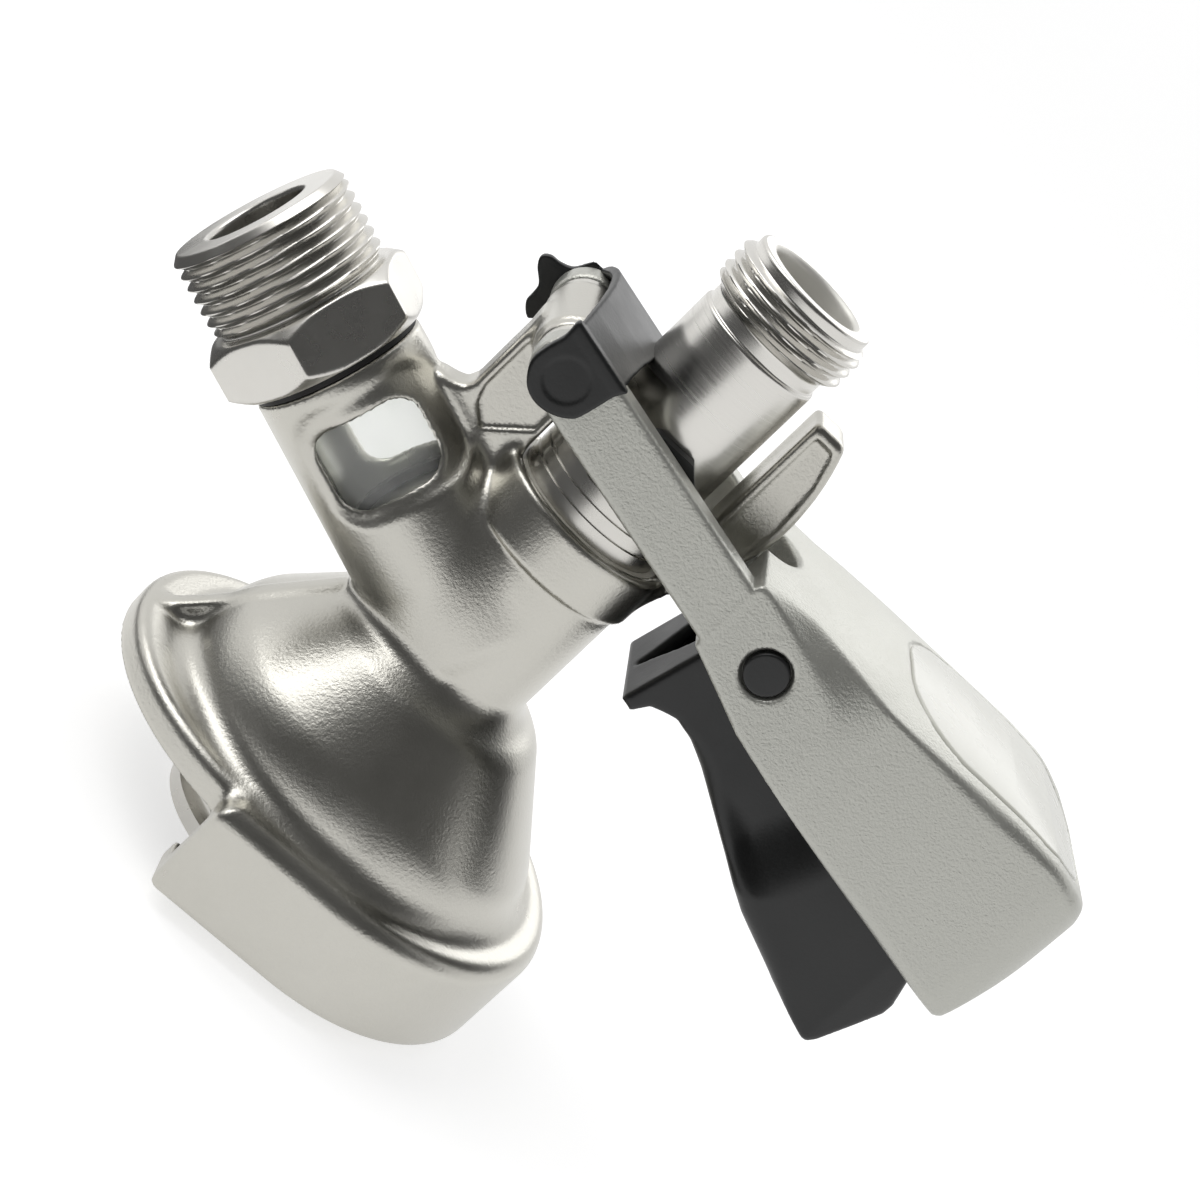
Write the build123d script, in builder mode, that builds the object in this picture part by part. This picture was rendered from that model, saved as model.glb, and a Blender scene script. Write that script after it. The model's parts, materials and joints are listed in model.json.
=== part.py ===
"""Keg coupler with a sliding base, a sight glass in the gas branch and a latched lever handle.

Millimetres, +Z up along the probe, +X towards the grip, -X towards the gas branch and the open
side of the base. The origin is on the probe's axis, in the plane of the skirt's lower edge. The
handle is down and the probe is out, as it is when the coupler is on a keg.
"""
import math
import os
from build123d import *

# Standard pipe threads, major radius: parallel 3/4 inch for gas, 5/8 inch for beer
GAS_THREAD_R = 13.22
BEER_THREAD_R = 11.455

# Fits
RUN_FIT = 0.05
LOOSE_FIT = 0.15
SOFT_GAP = 0.3

# Sliding base
SKIRT_HALF_W = 35.5
SKIRT_NOSE_X = 9.0
SKIRT_END_X = -13.5
SKIRT_WALL = 4.0
LIP_H = 4.0
LIP_IN = 4.0
BASE_TOP = 17.2
SEAT_Z = 12.0
EDGE_ROUND = 2.2
FOOT_ROUND = 1.2
FLANGE_R = SKIRT_HALF_W - 4.5
FLANGE_X = -6.0
MOUTH_R = 18.0
BASE_SEAL_IN = 19.0
BASE_SEAL_OUT = 23.0
BASE_SEAL_LOW = 10.4
BASE_SEAL_TOP = 14.0

# Bell and neck
BELL_X = 1.7
BELL_R = SKIRT_HALF_W - 5.9
BELL_WALL_TOP = 24.5
BELL_ROUND = 3.5
BELL_FOOT_ROUND = 2.0
BELL_TOP = 46.0
BELL_SHELL = 3.4
CAVITY_R = 19.2
CAVITY_TOP = 23.5
NECK_R = 13.7
NECK_TOP = 71.0
NECK_BLEND = 5.0
COLLAR_R = 14.7
COLLAR_Z = NECK_TOP - 8.4
COLLAR_ROUND = 0.8
GUIDE_R = 13.0
GUIDE_H = 3.0
WIPER_H = 1.6
STRIP_HALF = 2.0
STRIP_RIDGE = ((-17.8, 37.4), (-23.3, 30.5), (-27.7, 24.6), (-30.6, 21.2), (-35.0, 16.2))
STRIP_ROOT = ((-35.0, 16.2), (-30.0, 14.5), (-12.0, 20.0), (-12.0, 36.0), (-17.8, 37.4))

# Probe
PROBE_R = 12.0
COLLAR_LOW_Z = 44.0
SHOULDER_Z = NECK_TOP + 9.5
FINE_GROOVE_Z = (NECK_TOP + 2.2, NECK_TOP + 4.4)
FINE_GROOVE_W = 0.6
FINE_GROOVE_D = 0.35
TUBE_R = 10.15
TUBE_NECK_R = 9.72
OUTLET_REACH = 45.0
OUTLET_TOP = NECK_TOP + OUTLET_REACH
GROOVE_Z = OUTLET_TOP - 11.1
THREAD_BOTTOM = OUTLET_TOP - 8.4
NOSE_H = 2.3
NOSE_R = 10.15
BEER_BORE_R = 7.4
BEER_CHAMFER = 0.9
SPIGOT_R = 8.6
SPIGOT_LEN = 9.0
LINE_R = 9.0
BEER_LINE_R = 6.0
FOOT_Z = -2.4
FOOT_R = 16.1
FOOT_H = 2.4
FOOT_NECK_R = 14.2
FOOT_NECK_H = 2.4
FOOT_BODY_H = 3.0
FOOT_PORT_R = 8.0
FOOT_PORT_H = 2.4
SEAL_LEN = 2.6
SEAL_R = 12.6
RING_Z = (46.5, 51.5)
RING_WIDTH = 2.2
RING_GROOVE_R = 9.9
RING_OUT_R = 11.7

# Gas branch, measured along its own axis from where it crosses the probe's axis
BRANCH_ANGLE = 70.0
BRANCH_CROSS_Z = 47.5
BRANCH_R = 12.6
BRANCH_ROOT_R = 13.4
BRANCH_MOUTH = 42.6
BRANCH_BLEND = 2.8
GAS_WAY_R = 6.2
GAS_WAY_FROM = 17.0
GAS_DROP_R = 3.2
GAS_DROP_X = -16.0
GAS_DROP_TOP = 53.5
GAS_DROP_LOW = 27.0
GLASS_R = 10.8
GLASS_WALL = 2.2
CHAMBER_FROM = 20.5
RING_H = 1.5
GLASS_LEN = 16.4
WINDOW_MID = 31.4
WINDOW_LEN = 11.6
WINDOW_H = 14.6
WINDOW_TILT = 8.0
WINDOW_ROUND = 3.2
WINDOW_RIM = 2.2
WINDOW_FLOOR = 0.75
WINDOW_REACH = 20.0
GASKET_H = 1.0
GASKET_OUT = 12.4
HEX_AF = 28.0
HEX_H = 9.0
HEX_FACE_R = 13.9
HEX_CHAMFER = 1.3
HEX_TURN = 90.0
GAS_END = 65.8
GAS_BORE_R = 7.2
GAS_FACE_R = 12.3
GAS_NOSE_H = 1.3
VALVE_SEAT_R = 9.4
VALVE_SEAT_LEN = 6.0
VALVE_FLANGE_H = 1.5
VALVE_TUBE_R = 6.4
VALVE_WALL = 1.3
VALVE_TUBE_LEN = 3.0
VALVE_LIP_LEN = 4.0
VALVE_LIP_W = 11.0
VALVE_LIP_T = 3.2
VALVE_LIP_SKIN = 1.0
VALVE_SLIT = 0.4
CAGE_IN_R = 7.4

# Hinge of the handle. Outlines of the ear, the rib and the handle are measured from its axis
HINGE_X = -18.6
HINGE_Z = NECK_TOP + 17.0
EAR_HALF = 3.0
EAR_PANEL = 0.8
EAR_TOP = ((-5.8, 0.0), (5.8, 0.0), (5.8, -26.0), (2.6, -30.0), (-5.4, -24.0), (-9.9, -16.6))
EAR_BACK = ((-9.9, -16.6), (-6.7, -15.2), (-6.0, -13.2), (-5.8, 0.0))
EAR_PANEL_OUTLINE = ((4.4, -6.0), (4.4, -13.4), (-1.0, -18.4), (-4.0, -16.0), (-4.8, -13.4), (-4.7, -6.0))
BOSS_R = 5.5
BOSS_HALF = 10.4
BOSS_MID_HALF = 8.6
BOSS_STEP_R = 5.1
BUSH_R = 4.0
BUSH_FLANGE_R = 4.8
PIN_R = 2.6
HINGE_GAP = 0.4

# Handle: crown, nose and underside of the grip, and its half outline seen from above
ARM_IN = 12.6
ARM_OUT = 17.5
ARM_END_R = 5.2
ARM_SLOPE = 13.8
SLOT_DEPTH = 2.9
SLOT_PLAY = 0.75
SLOT_NEAR = 18.4
SLOT_FAR = 22.0
TRUNNION_R = 2.6
ARM_LENGTH = 50.0
GRIP_HALF = 21.0
GRIP_CROWN = ((40.2, -1.9), (65.6, -1.1), (80.6, -1.0), (97.6, -3.2), (108.6, -8.0))
GRIP_NOSE = ((108.6, -8.0), (110.9, -12.4), (110.2, -18.0), (105.2, -31.8))
GRIP_UNDER = ((105.2, -31.8), (103.2, -33.4), (100.2, -32.6), (51.8, -21.1), (40.2, -16.4), (40.2, -1.9))
GRIP_PLAN = ((39.6, 17.5), (48.6, 18.1), (64.6, 19.9), (82.6, 20.0), (97.6, 19.5), (105.8, 16.6),
             (109.4, 10.0), (110.9, 0.0))
CORE_SIDE = ((48.6, -48.0), (48.6, -7.6), (56.6, -5.8), (66.6, -4.8), (80.6, -4.5), (89.9, -5.2), (97.6, -6.6),
             (103.2, -8.8), (105.8, -12.4), (105.2, -18.0), (103.4, -26.0), (100.0, -34.0), (96.6, -48.0))
CORE_PLAN = ((38.6, 12.6), (52.6, 12.6), (64.6, 17.0), (82.6, 17.2), (98.6, 16.6), (103.2, 13.6), (105.6, 8.0),
             (106.4, 0.0))
WEB_UNDER = ((36.6, -48.0), (36.6, -6.6), (48.8, -7.8), (48.8, -48.0))
CROWN_R = 84.0
CROWN_TOP = -1.0
FACET_FROM = 38.6
FACET_TO = 64.6
FACET_ROOT = ((17.5, -2.4), (15.2, 1.0), (21.0, 1.0))
FACET_TIP = ((20.15, -9.0), (20.15, 1.0), (21.0, 1.0))
NOTCH_HALF = 5.2
NOTCH_END = 45.0
LABEL_DEPTH = 0.6
LABEL_FROM = 67.1
LABEL_TO = 106.6
LABEL_HALF = 13.2
LABEL_ROUND = 11.0

# Clip over the hinge, measured in the arm's own frame: U along the arm, V square to it
CLIP_PLATE = 1.5
CLIP_MID_U = 0.25
CLIP_HALF_U = 5.15
CLIP_TOP = 5.95
CLIP_ARCH = ((-19.0, 5.95), (-12.0, 7.1), (0.0, 8.0), (12.0, 8.2), (19.0, 7.4))
CLIP_ARCH_IN = ((17.5, 5.5), (12.0, 6.6), (0.0, 6.6), (-12.0, 5.8), (-17.5, 5.4))
CLIP_EDGE = ((-4.9, -19.0), (-4.2, -12.0), (-2.95, 0.0), (-2.6, 12.0), (-2.3, 19.0))
CLIP_FRONT = ((9.6, 19.0), (9.6, 15.5), (6.2, 6.0), (5.4, -4.0), (5.4, -19.0))
FAR_PLATE_R = 9.0
FAR_PLATE_TOP = 7.4
FAR_PLATE_U = 9.6
SCALLOP_R = 3.2
SCALLOPS = ((-8.1, 4.2), (-7.9, -6.6), (0.6, -10.6))

# Latch rib on the neck
RIB_HALF = 4.0
RIB_PANEL = 0.6
RIB_IN_X = 31.4
RIB_ARC_R = 39.8
RIB_TOP = (36.4, 15.4)
RIB_CHAMFER = 1.2
RIB_ARC_LOW = -11.0
RIB_ROOT = ((31.6, -31.0), (33.2, -26.8), (35.2, -23.4), (37.2, -19.0))
RIB_PANEL_OUTLINE = ((33.0, -16.0), (35.6, -16.0), (37.6, -8.0), (37.8, 0.0), (37.0, 8.0), (35.8, 13.0),
                     (33.0, 13.0))

# Lever under the grip, its pin and its spring
LATCH_X = 48.6
LATCH_Z = -11.8
LATCH_PIN_R = 2.0
PLUG_R = 3.3
PLUG_IN_Y = 16.6
PLUG_OUT_Y = 18.4
LEVER_UNDER = ((43.0, -29.5), (47.0, -28.2), (55.2, -31.9), (73.8, -42.8), (94.6, -50.8))
LEVER_TOP = ((94.6, -50.8), (96.2, -50.0), (100.2, -40.0), (97.2, -35.0), (74.6, -26.2), (58.6, -20.2),
             (55.0, -10.6), (51.2, -8.4), (46.2, -8.4), (42.2, -18.6), (39.2, -31.4), (41.4, -32.0),
             (43.0, -29.5))
LEVER_PLAN = ((36.6, 10.4), (50.6, 10.4), (58.0, 13.0), (66.0, 14.6), (76.0, 15.2), (102.6, 15.2))
CHEEK_HALF = 10.4
CHEEK_OUTLINE = ((36.0, -27.4), (66.2, -33.3), (68.6, -26.5), (72.0, -14.0), (72.0, -4.0), (36.0, -4.0))
LEVER_CORE_SIDE = ((43.2, -25.6), (50.6, -25.8), (56.6, -29.4), (74.8, -40.4), (93.6, -47.6), (97.8, -38.0),
                   (97.6, 2.0), (43.2, 2.0))
LEVER_CORE_PLAN = ((38.6, 8.2), (63.6, 8.2), (72.0, 13.0), (97.8, 13.0))
LEVER_SLOT_HALF = 3.4
LEVER_SLOT_Z = -28.0
LEVER_SLOT_TO = 47.2
SPRING_X = 74.6
SPRING_R = 3.4
SPRING_WIRE = 0.5
SPRING_PITCH = 3.2
SPRING_LOW = -26.4
SPRING_TOP = -4.8
POST_FOOT = -42.0
POST_R = 4.6
POST_PEG_R = 2.4
POST_PEG_H = 1.6

# Trunnions on the probe
BLOCK_SIZE = 11.6
BLOCK_CHAMFER = 2.6
BLOCK_IN_Y = 8.6
BLOCK_GAP = 0.4
TRUNNION_END_GAP = 0.3

TRUNNION_Z = HINGE_Z - math.tan(math.radians(ARM_SLOPE)) * abs(HINGE_X)
BRANCH_SIN = math.sin(math.radians(BRANCH_ANGLE))
BRANCH_COS = math.cos(math.radians(BRANCH_ANGLE))
SLOPE_SIN = math.sin(math.radians(ARM_SLOPE))
SLOPE_COS = math.cos(math.radians(ARM_SLOPE))
TOO_LONG = 200.0


def on_branch(distance):
    """Plane square to the gas branch, its X axis up the branch's upper side, its Y axis along +Y."""
    origin = (-BRANCH_SIN * distance, 0, BRANCH_CROSS_Z + BRANCH_COS * distance)
    return Plane(origin=origin, x_dir=(BRANCH_COS, 0, BRANCH_SIN), z_dir=(-BRANCH_SIN, 0, BRANCH_COS))


def window_plane(side):
    """Plane through the branch's axis, facing out of a window: side is 1 for +Y and -1 for -Y."""
    tilt = math.radians(WINDOW_TILT)
    origin = (-BRANCH_SIN * WINDOW_MID, 0, BRANCH_CROSS_Z + BRANCH_COS * WINDOW_MID)
    outward = (BRANCH_COS * math.sin(tilt), side * math.cos(tilt), BRANCH_SIN * math.sin(tilt))
    return Plane(origin=origin, x_dir=(-BRANCH_SIN, 0, BRANCH_COS), z_dir=outward)


def side_plane(y):
    """Plane at a given Y whose local axes are the part's X and Z. It faces -Y."""
    return Plane(origin=(0, y, 0), x_dir=(1, 0, 0), z_dir=(0, -1, 0))


def along_branch():
    """Plane through the branch's axis whose Y axis runs out along the branch. It faces -Y."""
    return Plane(origin=(0, 0, BRANCH_CROSS_Z), x_dir=(BRANCH_COS, 0, BRANCH_SIN), z_dir=(0, -1, 0))


def hinge_plane(y):
    """Side plane with its origin on the hinge, its axes the part's X and Z. It faces -Y."""
    return Plane(origin=(HINGE_X, y, HINGE_Z), x_dir=(1, 0, 0), z_dir=(0, -1, 0))


def above_hinge(z):
    """Level plane over the hinge's axis, its axes the part's X and Y."""
    return Plane(origin=(HINGE_X, 0, HINGE_Z + z), x_dir=(1, 0, 0), z_dir=(0, 0, 1))


def across_grip(x):
    """Plane square to X, that far from the hinge, its axes the part's Y and Z."""
    return Plane(origin=(HINGE_X + x, 0, HINGE_Z), x_dir=(0, 1, 0), z_dir=(1, 0, 0))


def arm_plane(y):
    """Side plane with its origin on the hinge and its X axis along the arm. It faces -Y."""
    return Plane(origin=(HINGE_X, y, HINGE_Z), x_dir=(SLOPE_COS, 0, -SLOPE_SIN), z_dir=(0, -1, 0))


def both_sides(points):
    """Closed plan outline: the points given for +Y, then the same points for -Y in reverse."""
    mirrored = [(x, -y) for x, y in reversed(points) if y > 0]
    return list(points) + mirrored


def save(builder, name):
    """Label a finished piece and write it to its own file."""
    builder.part.label = name
    export_step(builder.part, f"parts/{name}.step")


def u_shape(half_width, end_x):
    """Outline of the base seen from above: straight sides and a round nose, drawn in a sketch."""
    with Locations((SKIRT_NOSE_X, 0)):
        Circle(half_width)
    length = SKIRT_NOSE_X - end_x
    with Locations((SKIRT_NOSE_X - length / 2, 0)):
        Rectangle(length, 2 * half_width)


def ring_on(plane, outer, inner, height):
    """Plain ring on a plane, from the plane outwards."""
    with BuildPart() as ring:
        with BuildSketch(plane):
            Circle(outer)
            Circle(inner, mode=Mode.SUBTRACT)
        extrude(amount=height)
    return ring


os.makedirs("parts", exist_ok=True)

# Cutters for the two windows: a sunk border around the glass, then the opening itself
WINDOW_FLOOR_R = GLASS_R + WINDOW_FLOOR
window_cutters = []
for side in (1, -1):
    with BuildPart() as border:
        with BuildSketch(window_plane(side)):
            RectangleRounded(WINDOW_LEN + 2 * WINDOW_RIM, WINDOW_H + 2 * WINDOW_RIM, WINDOW_ROUND + WINDOW_RIM)
        extrude(amount=WINDOW_REACH)
        with BuildSketch(on_branch(0)):
            Circle(WINDOW_FLOOR_R)
        extrude(amount=BRANCH_MOUTH, mode=Mode.SUBTRACT)
    with BuildPart() as opening:
        with BuildSketch(window_plane(side)):
            RectangleRounded(WINDOW_LEN, WINDOW_H, WINDOW_ROUND)
        extrude(amount=WINDOW_REACH)
    window_cutters += [border, opening]

# Casting of the body: sliding base, bell, neck, gas branch, hinge ear and latch rib
OPEN_X = FLANGE_X - FLANGE_R - 1.0
CONE_SLOPE = math.atan2(BELL_R - (NECK_R - BELL_X), BELL_TOP - BELL_WALL_TOP)
ROUND_RUN = BELL_ROUND * math.tan(CONE_SLOPE / 2)
with BuildPart() as coupler_body:
    with BuildSketch(Plane.XY):
        u_shape(SKIRT_HALF_W, SKIRT_END_X)
    extrude(amount=BASE_TOP)
    with BuildSketch(Plane.XY.offset(SEAT_Z)):
        with Locations((FLANGE_X, 0)):
            Circle(FLANGE_R)
    extrude(amount=BASE_TOP - SEAT_Z)
    fillet(coupler_body.edges().group_by(Axis.Z)[-1], EDGE_ROUND)
    fillet(coupler_body.edges().group_by(Axis.Z)[0], FOOT_ROUND)

    # Slot that takes the keg's collar, and the narrower way between the two lips
    with BuildSketch(Plane.XY.offset(LIP_H)):
        u_shape(SKIRT_HALF_W - SKIRT_WALL, OPEN_X)
    extrude(amount=SEAT_Z - LIP_H, mode=Mode.SUBTRACT)
    with BuildSketch(Plane.XY):
        u_shape(SKIRT_HALF_W - SKIRT_WALL - LIP_IN, OPEN_X)
    extrude(amount=LIP_H, mode=Mode.SUBTRACT)

    # Bell, turned about its own axis, and its strip along the parting plane
    with BuildSketch(Plane.XZ.move(Location((BELL_X, 0, 0)))):
        with BuildLine():
            foot = (BELL_R + BELL_FOOT_ROUND, BASE_TOP)
            wall = (BELL_R, BASE_TOP + BELL_FOOT_ROUND)
            wall_end = (BELL_R, BELL_WALL_TOP - ROUND_RUN)
            cone = (BELL_R - ROUND_RUN * math.sin(CONE_SLOPE), BELL_WALL_TOP + ROUND_RUN * math.cos(CONE_SLOPE))
            Line((0, SEAT_Z), (foot[0], SEAT_Z))
            Line((foot[0], SEAT_Z), foot)
            TangentArc(wall, foot, tangent=(0, -1))
            Line(wall, wall_end)
            TangentArc(wall_end, cone, tangent=(0, 1))
            Line(cone, (NECK_R - BELL_X, BELL_TOP))
            Line((NECK_R - BELL_X, BELL_TOP), (0, BELL_TOP))
            Line((0, BELL_TOP), (0, SEAT_Z))
        make_face()
    revolve(axis=Axis((BELL_X, 0, 0), (0, 0, 1)))

    # Neck, then the gas branch, slightly thicker at its root, each blended into what it grows from
    with BuildSketch(Plane.XY.offset(BELL_WALL_TOP)):
        Circle(NECK_R)
    extrude(amount=NECK_TOP - BELL_WALL_TOP)
    fillet(coupler_body.edges(Select.NEW), NECK_BLEND)
    with BuildSketch(on_branch(0)):
        Circle(BRANCH_ROOT_R)
    with BuildSketch(on_branch(BRANCH_MOUTH)):
        Circle(BRANCH_R)
    loft()
    fillet(coupler_body.edges(Select.NEW), BRANCH_BLEND)

    # Strip along the parting plane, then the collar
    with BuildSketch(side_plane(STRIP_HALF)):
        with BuildLine():
            Spline(*STRIP_RIDGE)
            Polyline(*STRIP_ROOT)
        make_face()
    extrude(amount=2 * STRIP_HALF)
    with BuildSketch(Plane.XY.offset(COLLAR_Z)):
        Circle(COLLAR_R)
    extrude(amount=NECK_TOP - COLLAR_Z)
    fillet(coupler_body.edges().group_by(Axis.Z)[-1], COLLAR_ROUND)

    # Hinge ear with sunk panels, then its boss
    with BuildSketch(hinge_plane(EAR_HALF)):
        with BuildLine():
            Polyline(*EAR_TOP)
            Spline(*EAR_BACK)
        make_face()
    extrude(amount=2 * EAR_HALF)
    for start in (EAR_HALF, EAR_PANEL - EAR_HALF):
        with BuildSketch(hinge_plane(start)):
            Polygon(*EAR_PANEL_OUTLINE, align=None)
        extrude(amount=EAR_PANEL, mode=Mode.SUBTRACT)
    for radius, half in ((BOSS_R, BOSS_MID_HALF), (BOSS_STEP_R, BOSS_HALF)):
        with BuildSketch(arm_plane(half)):
            Circle(radius)
        extrude(amount=2 * half)

    # Latch rib on the neck, its outer edge an arc about the hinge, with sunk panels
    with BuildSketch(hinge_plane(RIB_HALF)):
        with BuildLine():
            arc_mid = (RIB_ARC_R, 0)
            arc_low = (math.sqrt(RIB_ARC_R ** 2 - RIB_ARC_LOW ** 2), RIB_ARC_LOW)
            corner = (RIB_IN_X + RIB_CHAMFER, RIB_TOP[1])
            inner = (RIB_IN_X, RIB_TOP[1] - RIB_CHAMFER)
            Polyline(RIB_TOP, corner, inner, (RIB_IN_X, RIB_ROOT[0][1]), RIB_ROOT[0])
            Spline(*RIB_ROOT, arc_low)
            ThreePointArc(arc_low, arc_mid, RIB_TOP)
        make_face()
    extrude(amount=2 * RIB_HALF)
    for start in (RIB_HALF, RIB_PANEL - RIB_HALF):
        with BuildSketch(hinge_plane(start)):
            Polygon(*RIB_PANEL_OUTLINE, align=None)
        extrude(amount=RIB_PANEL, mode=Mode.SUBTRACT)

    # Groove of the base seal, gas chamber, bore of the neck and seat of the guide ring
    with BuildSketch(Plane.XY.offset(SEAT_Z)):
        Circle(BASE_SEAL_OUT)
        Circle(BASE_SEAL_IN, mode=Mode.SUBTRACT)
    extrude(amount=BASE_SEAL_TOP - SEAT_Z, mode=Mode.SUBTRACT)
    with BuildSketch(Plane.XY.offset(SEAT_Z)):
        Circle(MOUTH_R)
    extrude(amount=CAVITY_TOP - SEAT_Z, mode=Mode.SUBTRACT)
    with BuildSketch(Plane.XY.offset(CAVITY_TOP)):
        Circle(CAVITY_R)
    with BuildSketch(Plane.XY.offset(BELL_TOP - BELL_SHELL)):
        Circle(PROBE_R + RUN_FIT)
    loft(mode=Mode.SUBTRACT)
    with BuildSketch(Plane.XY.offset(BELL_TOP - BELL_SHELL)):
        Circle(PROBE_R + RUN_FIT)
    extrude(amount=OUTLET_TOP, mode=Mode.SUBTRACT)
    with BuildSketch(Plane.XY.offset(NECK_TOP - GUIDE_H - WIPER_H)):
        Circle(GUIDE_R)
    extrude(amount=GUIDE_H + WIPER_H, mode=Mode.SUBTRACT)

    # Glass chamber, windows, and the gas way from the chamber down into the bell
    with BuildSketch(on_branch(CHAMBER_FROM)):
        Circle(GLASS_R + LOOSE_FIT)
    extrude(amount=BRANCH_MOUTH, mode=Mode.SUBTRACT)
    with BuildSketch(on_branch(GAS_WAY_FROM)):
        Circle(GAS_WAY_R)
    extrude(amount=BRANCH_MOUTH - GAS_WAY_FROM, mode=Mode.SUBTRACT)
    with BuildSketch(Plane.XY.offset(GAS_DROP_LOW)):
        with Locations((GAS_DROP_X, 0)):
            Circle(GAS_DROP_R)
    extrude(amount=GAS_DROP_TOP - GAS_DROP_LOW, mode=Mode.SUBTRACT)
    for cutter in window_cutters:
        add(cutter.part, mode=Mode.SUBTRACT)

    # Bore of the hinge bushes
    with BuildSketch(arm_plane(BOSS_HALF)):
        Circle(BUSH_R)
    extrude(amount=2 * BOSS_HALF, mode=Mode.SUBTRACT)
save(coupler_body, "coupler_body")

# Seal under the flange
base_seal = ring_on(Plane.XY.offset(BASE_SEAL_LOW), BASE_SEAL_OUT, BASE_SEAL_IN, BASE_SEAL_TOP - BASE_SEAL_LOW)
save(base_seal, "base_seal")

# Guide ring and wiper in the top of the neck
neck_guide = ring_on(Plane.XY.offset(NECK_TOP - GUIDE_H), GUIDE_R, PROBE_R + RUN_FIT, GUIDE_H)
save(neck_guide, "neck_guide")
neck_wiper = ring_on(Plane.XY.offset(NECK_TOP - GUIDE_H - WIPER_H), GUIDE_R, PROBE_R + SOFT_GAP, WIPER_H)
save(neck_wiper, "neck_wiper")

# Sight glass between its two seals
GLASS_FROM = CHAMBER_FROM + RING_H
GLASS_TO = GLASS_FROM + GLASS_LEN
sight_glass = ring_on(on_branch(GLASS_FROM), GLASS_R, GLASS_R - GLASS_WALL, GLASS_LEN)
save(sight_glass, "sight_glass")
with BuildPart() as glass_seals:
    for start in (CHAMBER_FROM, GLASS_TO):
        with BuildSketch(on_branch(start)):
            Circle(GLASS_R)
            Circle(GLASS_R - GLASS_WALL, mode=Mode.SUBTRACT)
        extrude(amount=RING_H)
save(glass_seals, "glass_seals")

# Gas nipple: spigot, hexagon, threaded end and seat of the check valve
SPIGOT_FROM = GLASS_TO + RING_H
BRANCH_AXIS = Axis((0, 0, BRANCH_CROSS_Z), (-BRANCH_SIN, 0, BRANCH_COS))
HEX_FROM = BRANCH_MOUTH + GASKET_H
HEX_TO = HEX_FROM + HEX_H
HEX_R = HEX_AF / math.sqrt(3)
with BuildPart() as gas_nipple:
    with BuildSketch(on_branch(HEX_FROM)):
        RegularPolygon(HEX_R, 6, rotation=HEX_TURN)
    extrude(amount=HEX_H)
    with BuildSketch(along_branch()):
        Polygon((0, HEX_FROM), (HEX_FACE_R, HEX_FROM), (HEX_R, HEX_FROM + HEX_CHAMFER),
                (HEX_R, HEX_TO - HEX_CHAMFER), (HEX_FACE_R, HEX_TO), (0, HEX_TO), align=None)
    revolve(axis=BRANCH_AXIS, mode=Mode.INTERSECT)
    with BuildSketch(on_branch(HEX_TO)):
        Circle(GAS_THREAD_R)
    extrude(amount=GAS_END - GAS_NOSE_H - HEX_TO)
    with BuildSketch(on_branch(GAS_END - GAS_NOSE_H)):
        Circle(GAS_THREAD_R)
    with BuildSketch(on_branch(GAS_END)):
        Circle(GAS_FACE_R)
    loft()
    with BuildSketch(on_branch(SPIGOT_FROM)):
        Circle(GLASS_R + LOOSE_FIT - RUN_FIT)
    extrude(amount=HEX_FROM - SPIGOT_FROM)
    with BuildSketch(on_branch(SPIGOT_FROM)):
        Circle(GAS_BORE_R)
    extrude(amount=GAS_END - SPIGOT_FROM, mode=Mode.SUBTRACT)
    with BuildSketch(on_branch(SPIGOT_FROM)):
        Circle(VALVE_SEAT_R)
    extrude(amount=VALVE_SEAT_LEN, mode=Mode.SUBTRACT)
save(gas_nipple, "gas_nipple")
nipple_gasket = ring_on(on_branch(BRANCH_MOUTH), GASKET_OUT, GLASS_R + LOOSE_FIT, GASKET_H)
save(nipple_gasket, "nipple_gasket")

# Check valve in the nipple: flange, tube and two lips that close to a slit, held by a ring
FLANGE_FROM = SPIGOT_FROM + VALVE_SEAT_LEN - VALVE_FLANGE_H
TUBE_FROM = FLANGE_FROM - VALVE_TUBE_LEN
LIP_END = TUBE_FROM - VALVE_LIP_LEN
with BuildPart() as check_valve:
    with BuildSketch(on_branch(FLANGE_FROM)):
        Circle(VALVE_SEAT_R)
    extrude(amount=VALVE_FLANGE_H)
    with BuildSketch(on_branch(TUBE_FROM)):
        Circle(VALVE_TUBE_R)
    extrude(amount=VALVE_TUBE_LEN)
    with BuildSketch(on_branch(LIP_END)):
        Ellipse(VALVE_LIP_T / 2, VALVE_LIP_W / 2)
    with BuildSketch(on_branch(TUBE_FROM)):
        Circle(VALVE_TUBE_R)
    loft()
    with BuildSketch(on_branch(TUBE_FROM)):
        Circle(VALVE_TUBE_R - VALVE_WALL)
    extrude(amount=VALVE_TUBE_LEN + VALVE_FLANGE_H, mode=Mode.SUBTRACT)
    with BuildSketch(on_branch(LIP_END + VALVE_LIP_SKIN)):
        Ellipse(VALVE_SLIT / 2, VALVE_LIP_W / 2 - VALVE_WALL)
    with BuildSketch(on_branch(TUBE_FROM)):
        Circle(VALVE_TUBE_R - VALVE_WALL)
    loft(mode=Mode.SUBTRACT)
    with BuildSketch(on_branch(LIP_END)):
        Rectangle(VALVE_SLIT, VALVE_LIP_W - 2 * VALVE_WALL)
    extrude(amount=VALVE_LIP_SKIN, mode=Mode.SUBTRACT)
save(check_valve, "check_valve")
valve_cage = ring_on(on_branch(SPIGOT_FROM), VALVE_SEAT_R, CAGE_IN_R, FLANGE_FROM - SPIGOT_FROM)
save(valve_cage, "valve_cage")

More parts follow.
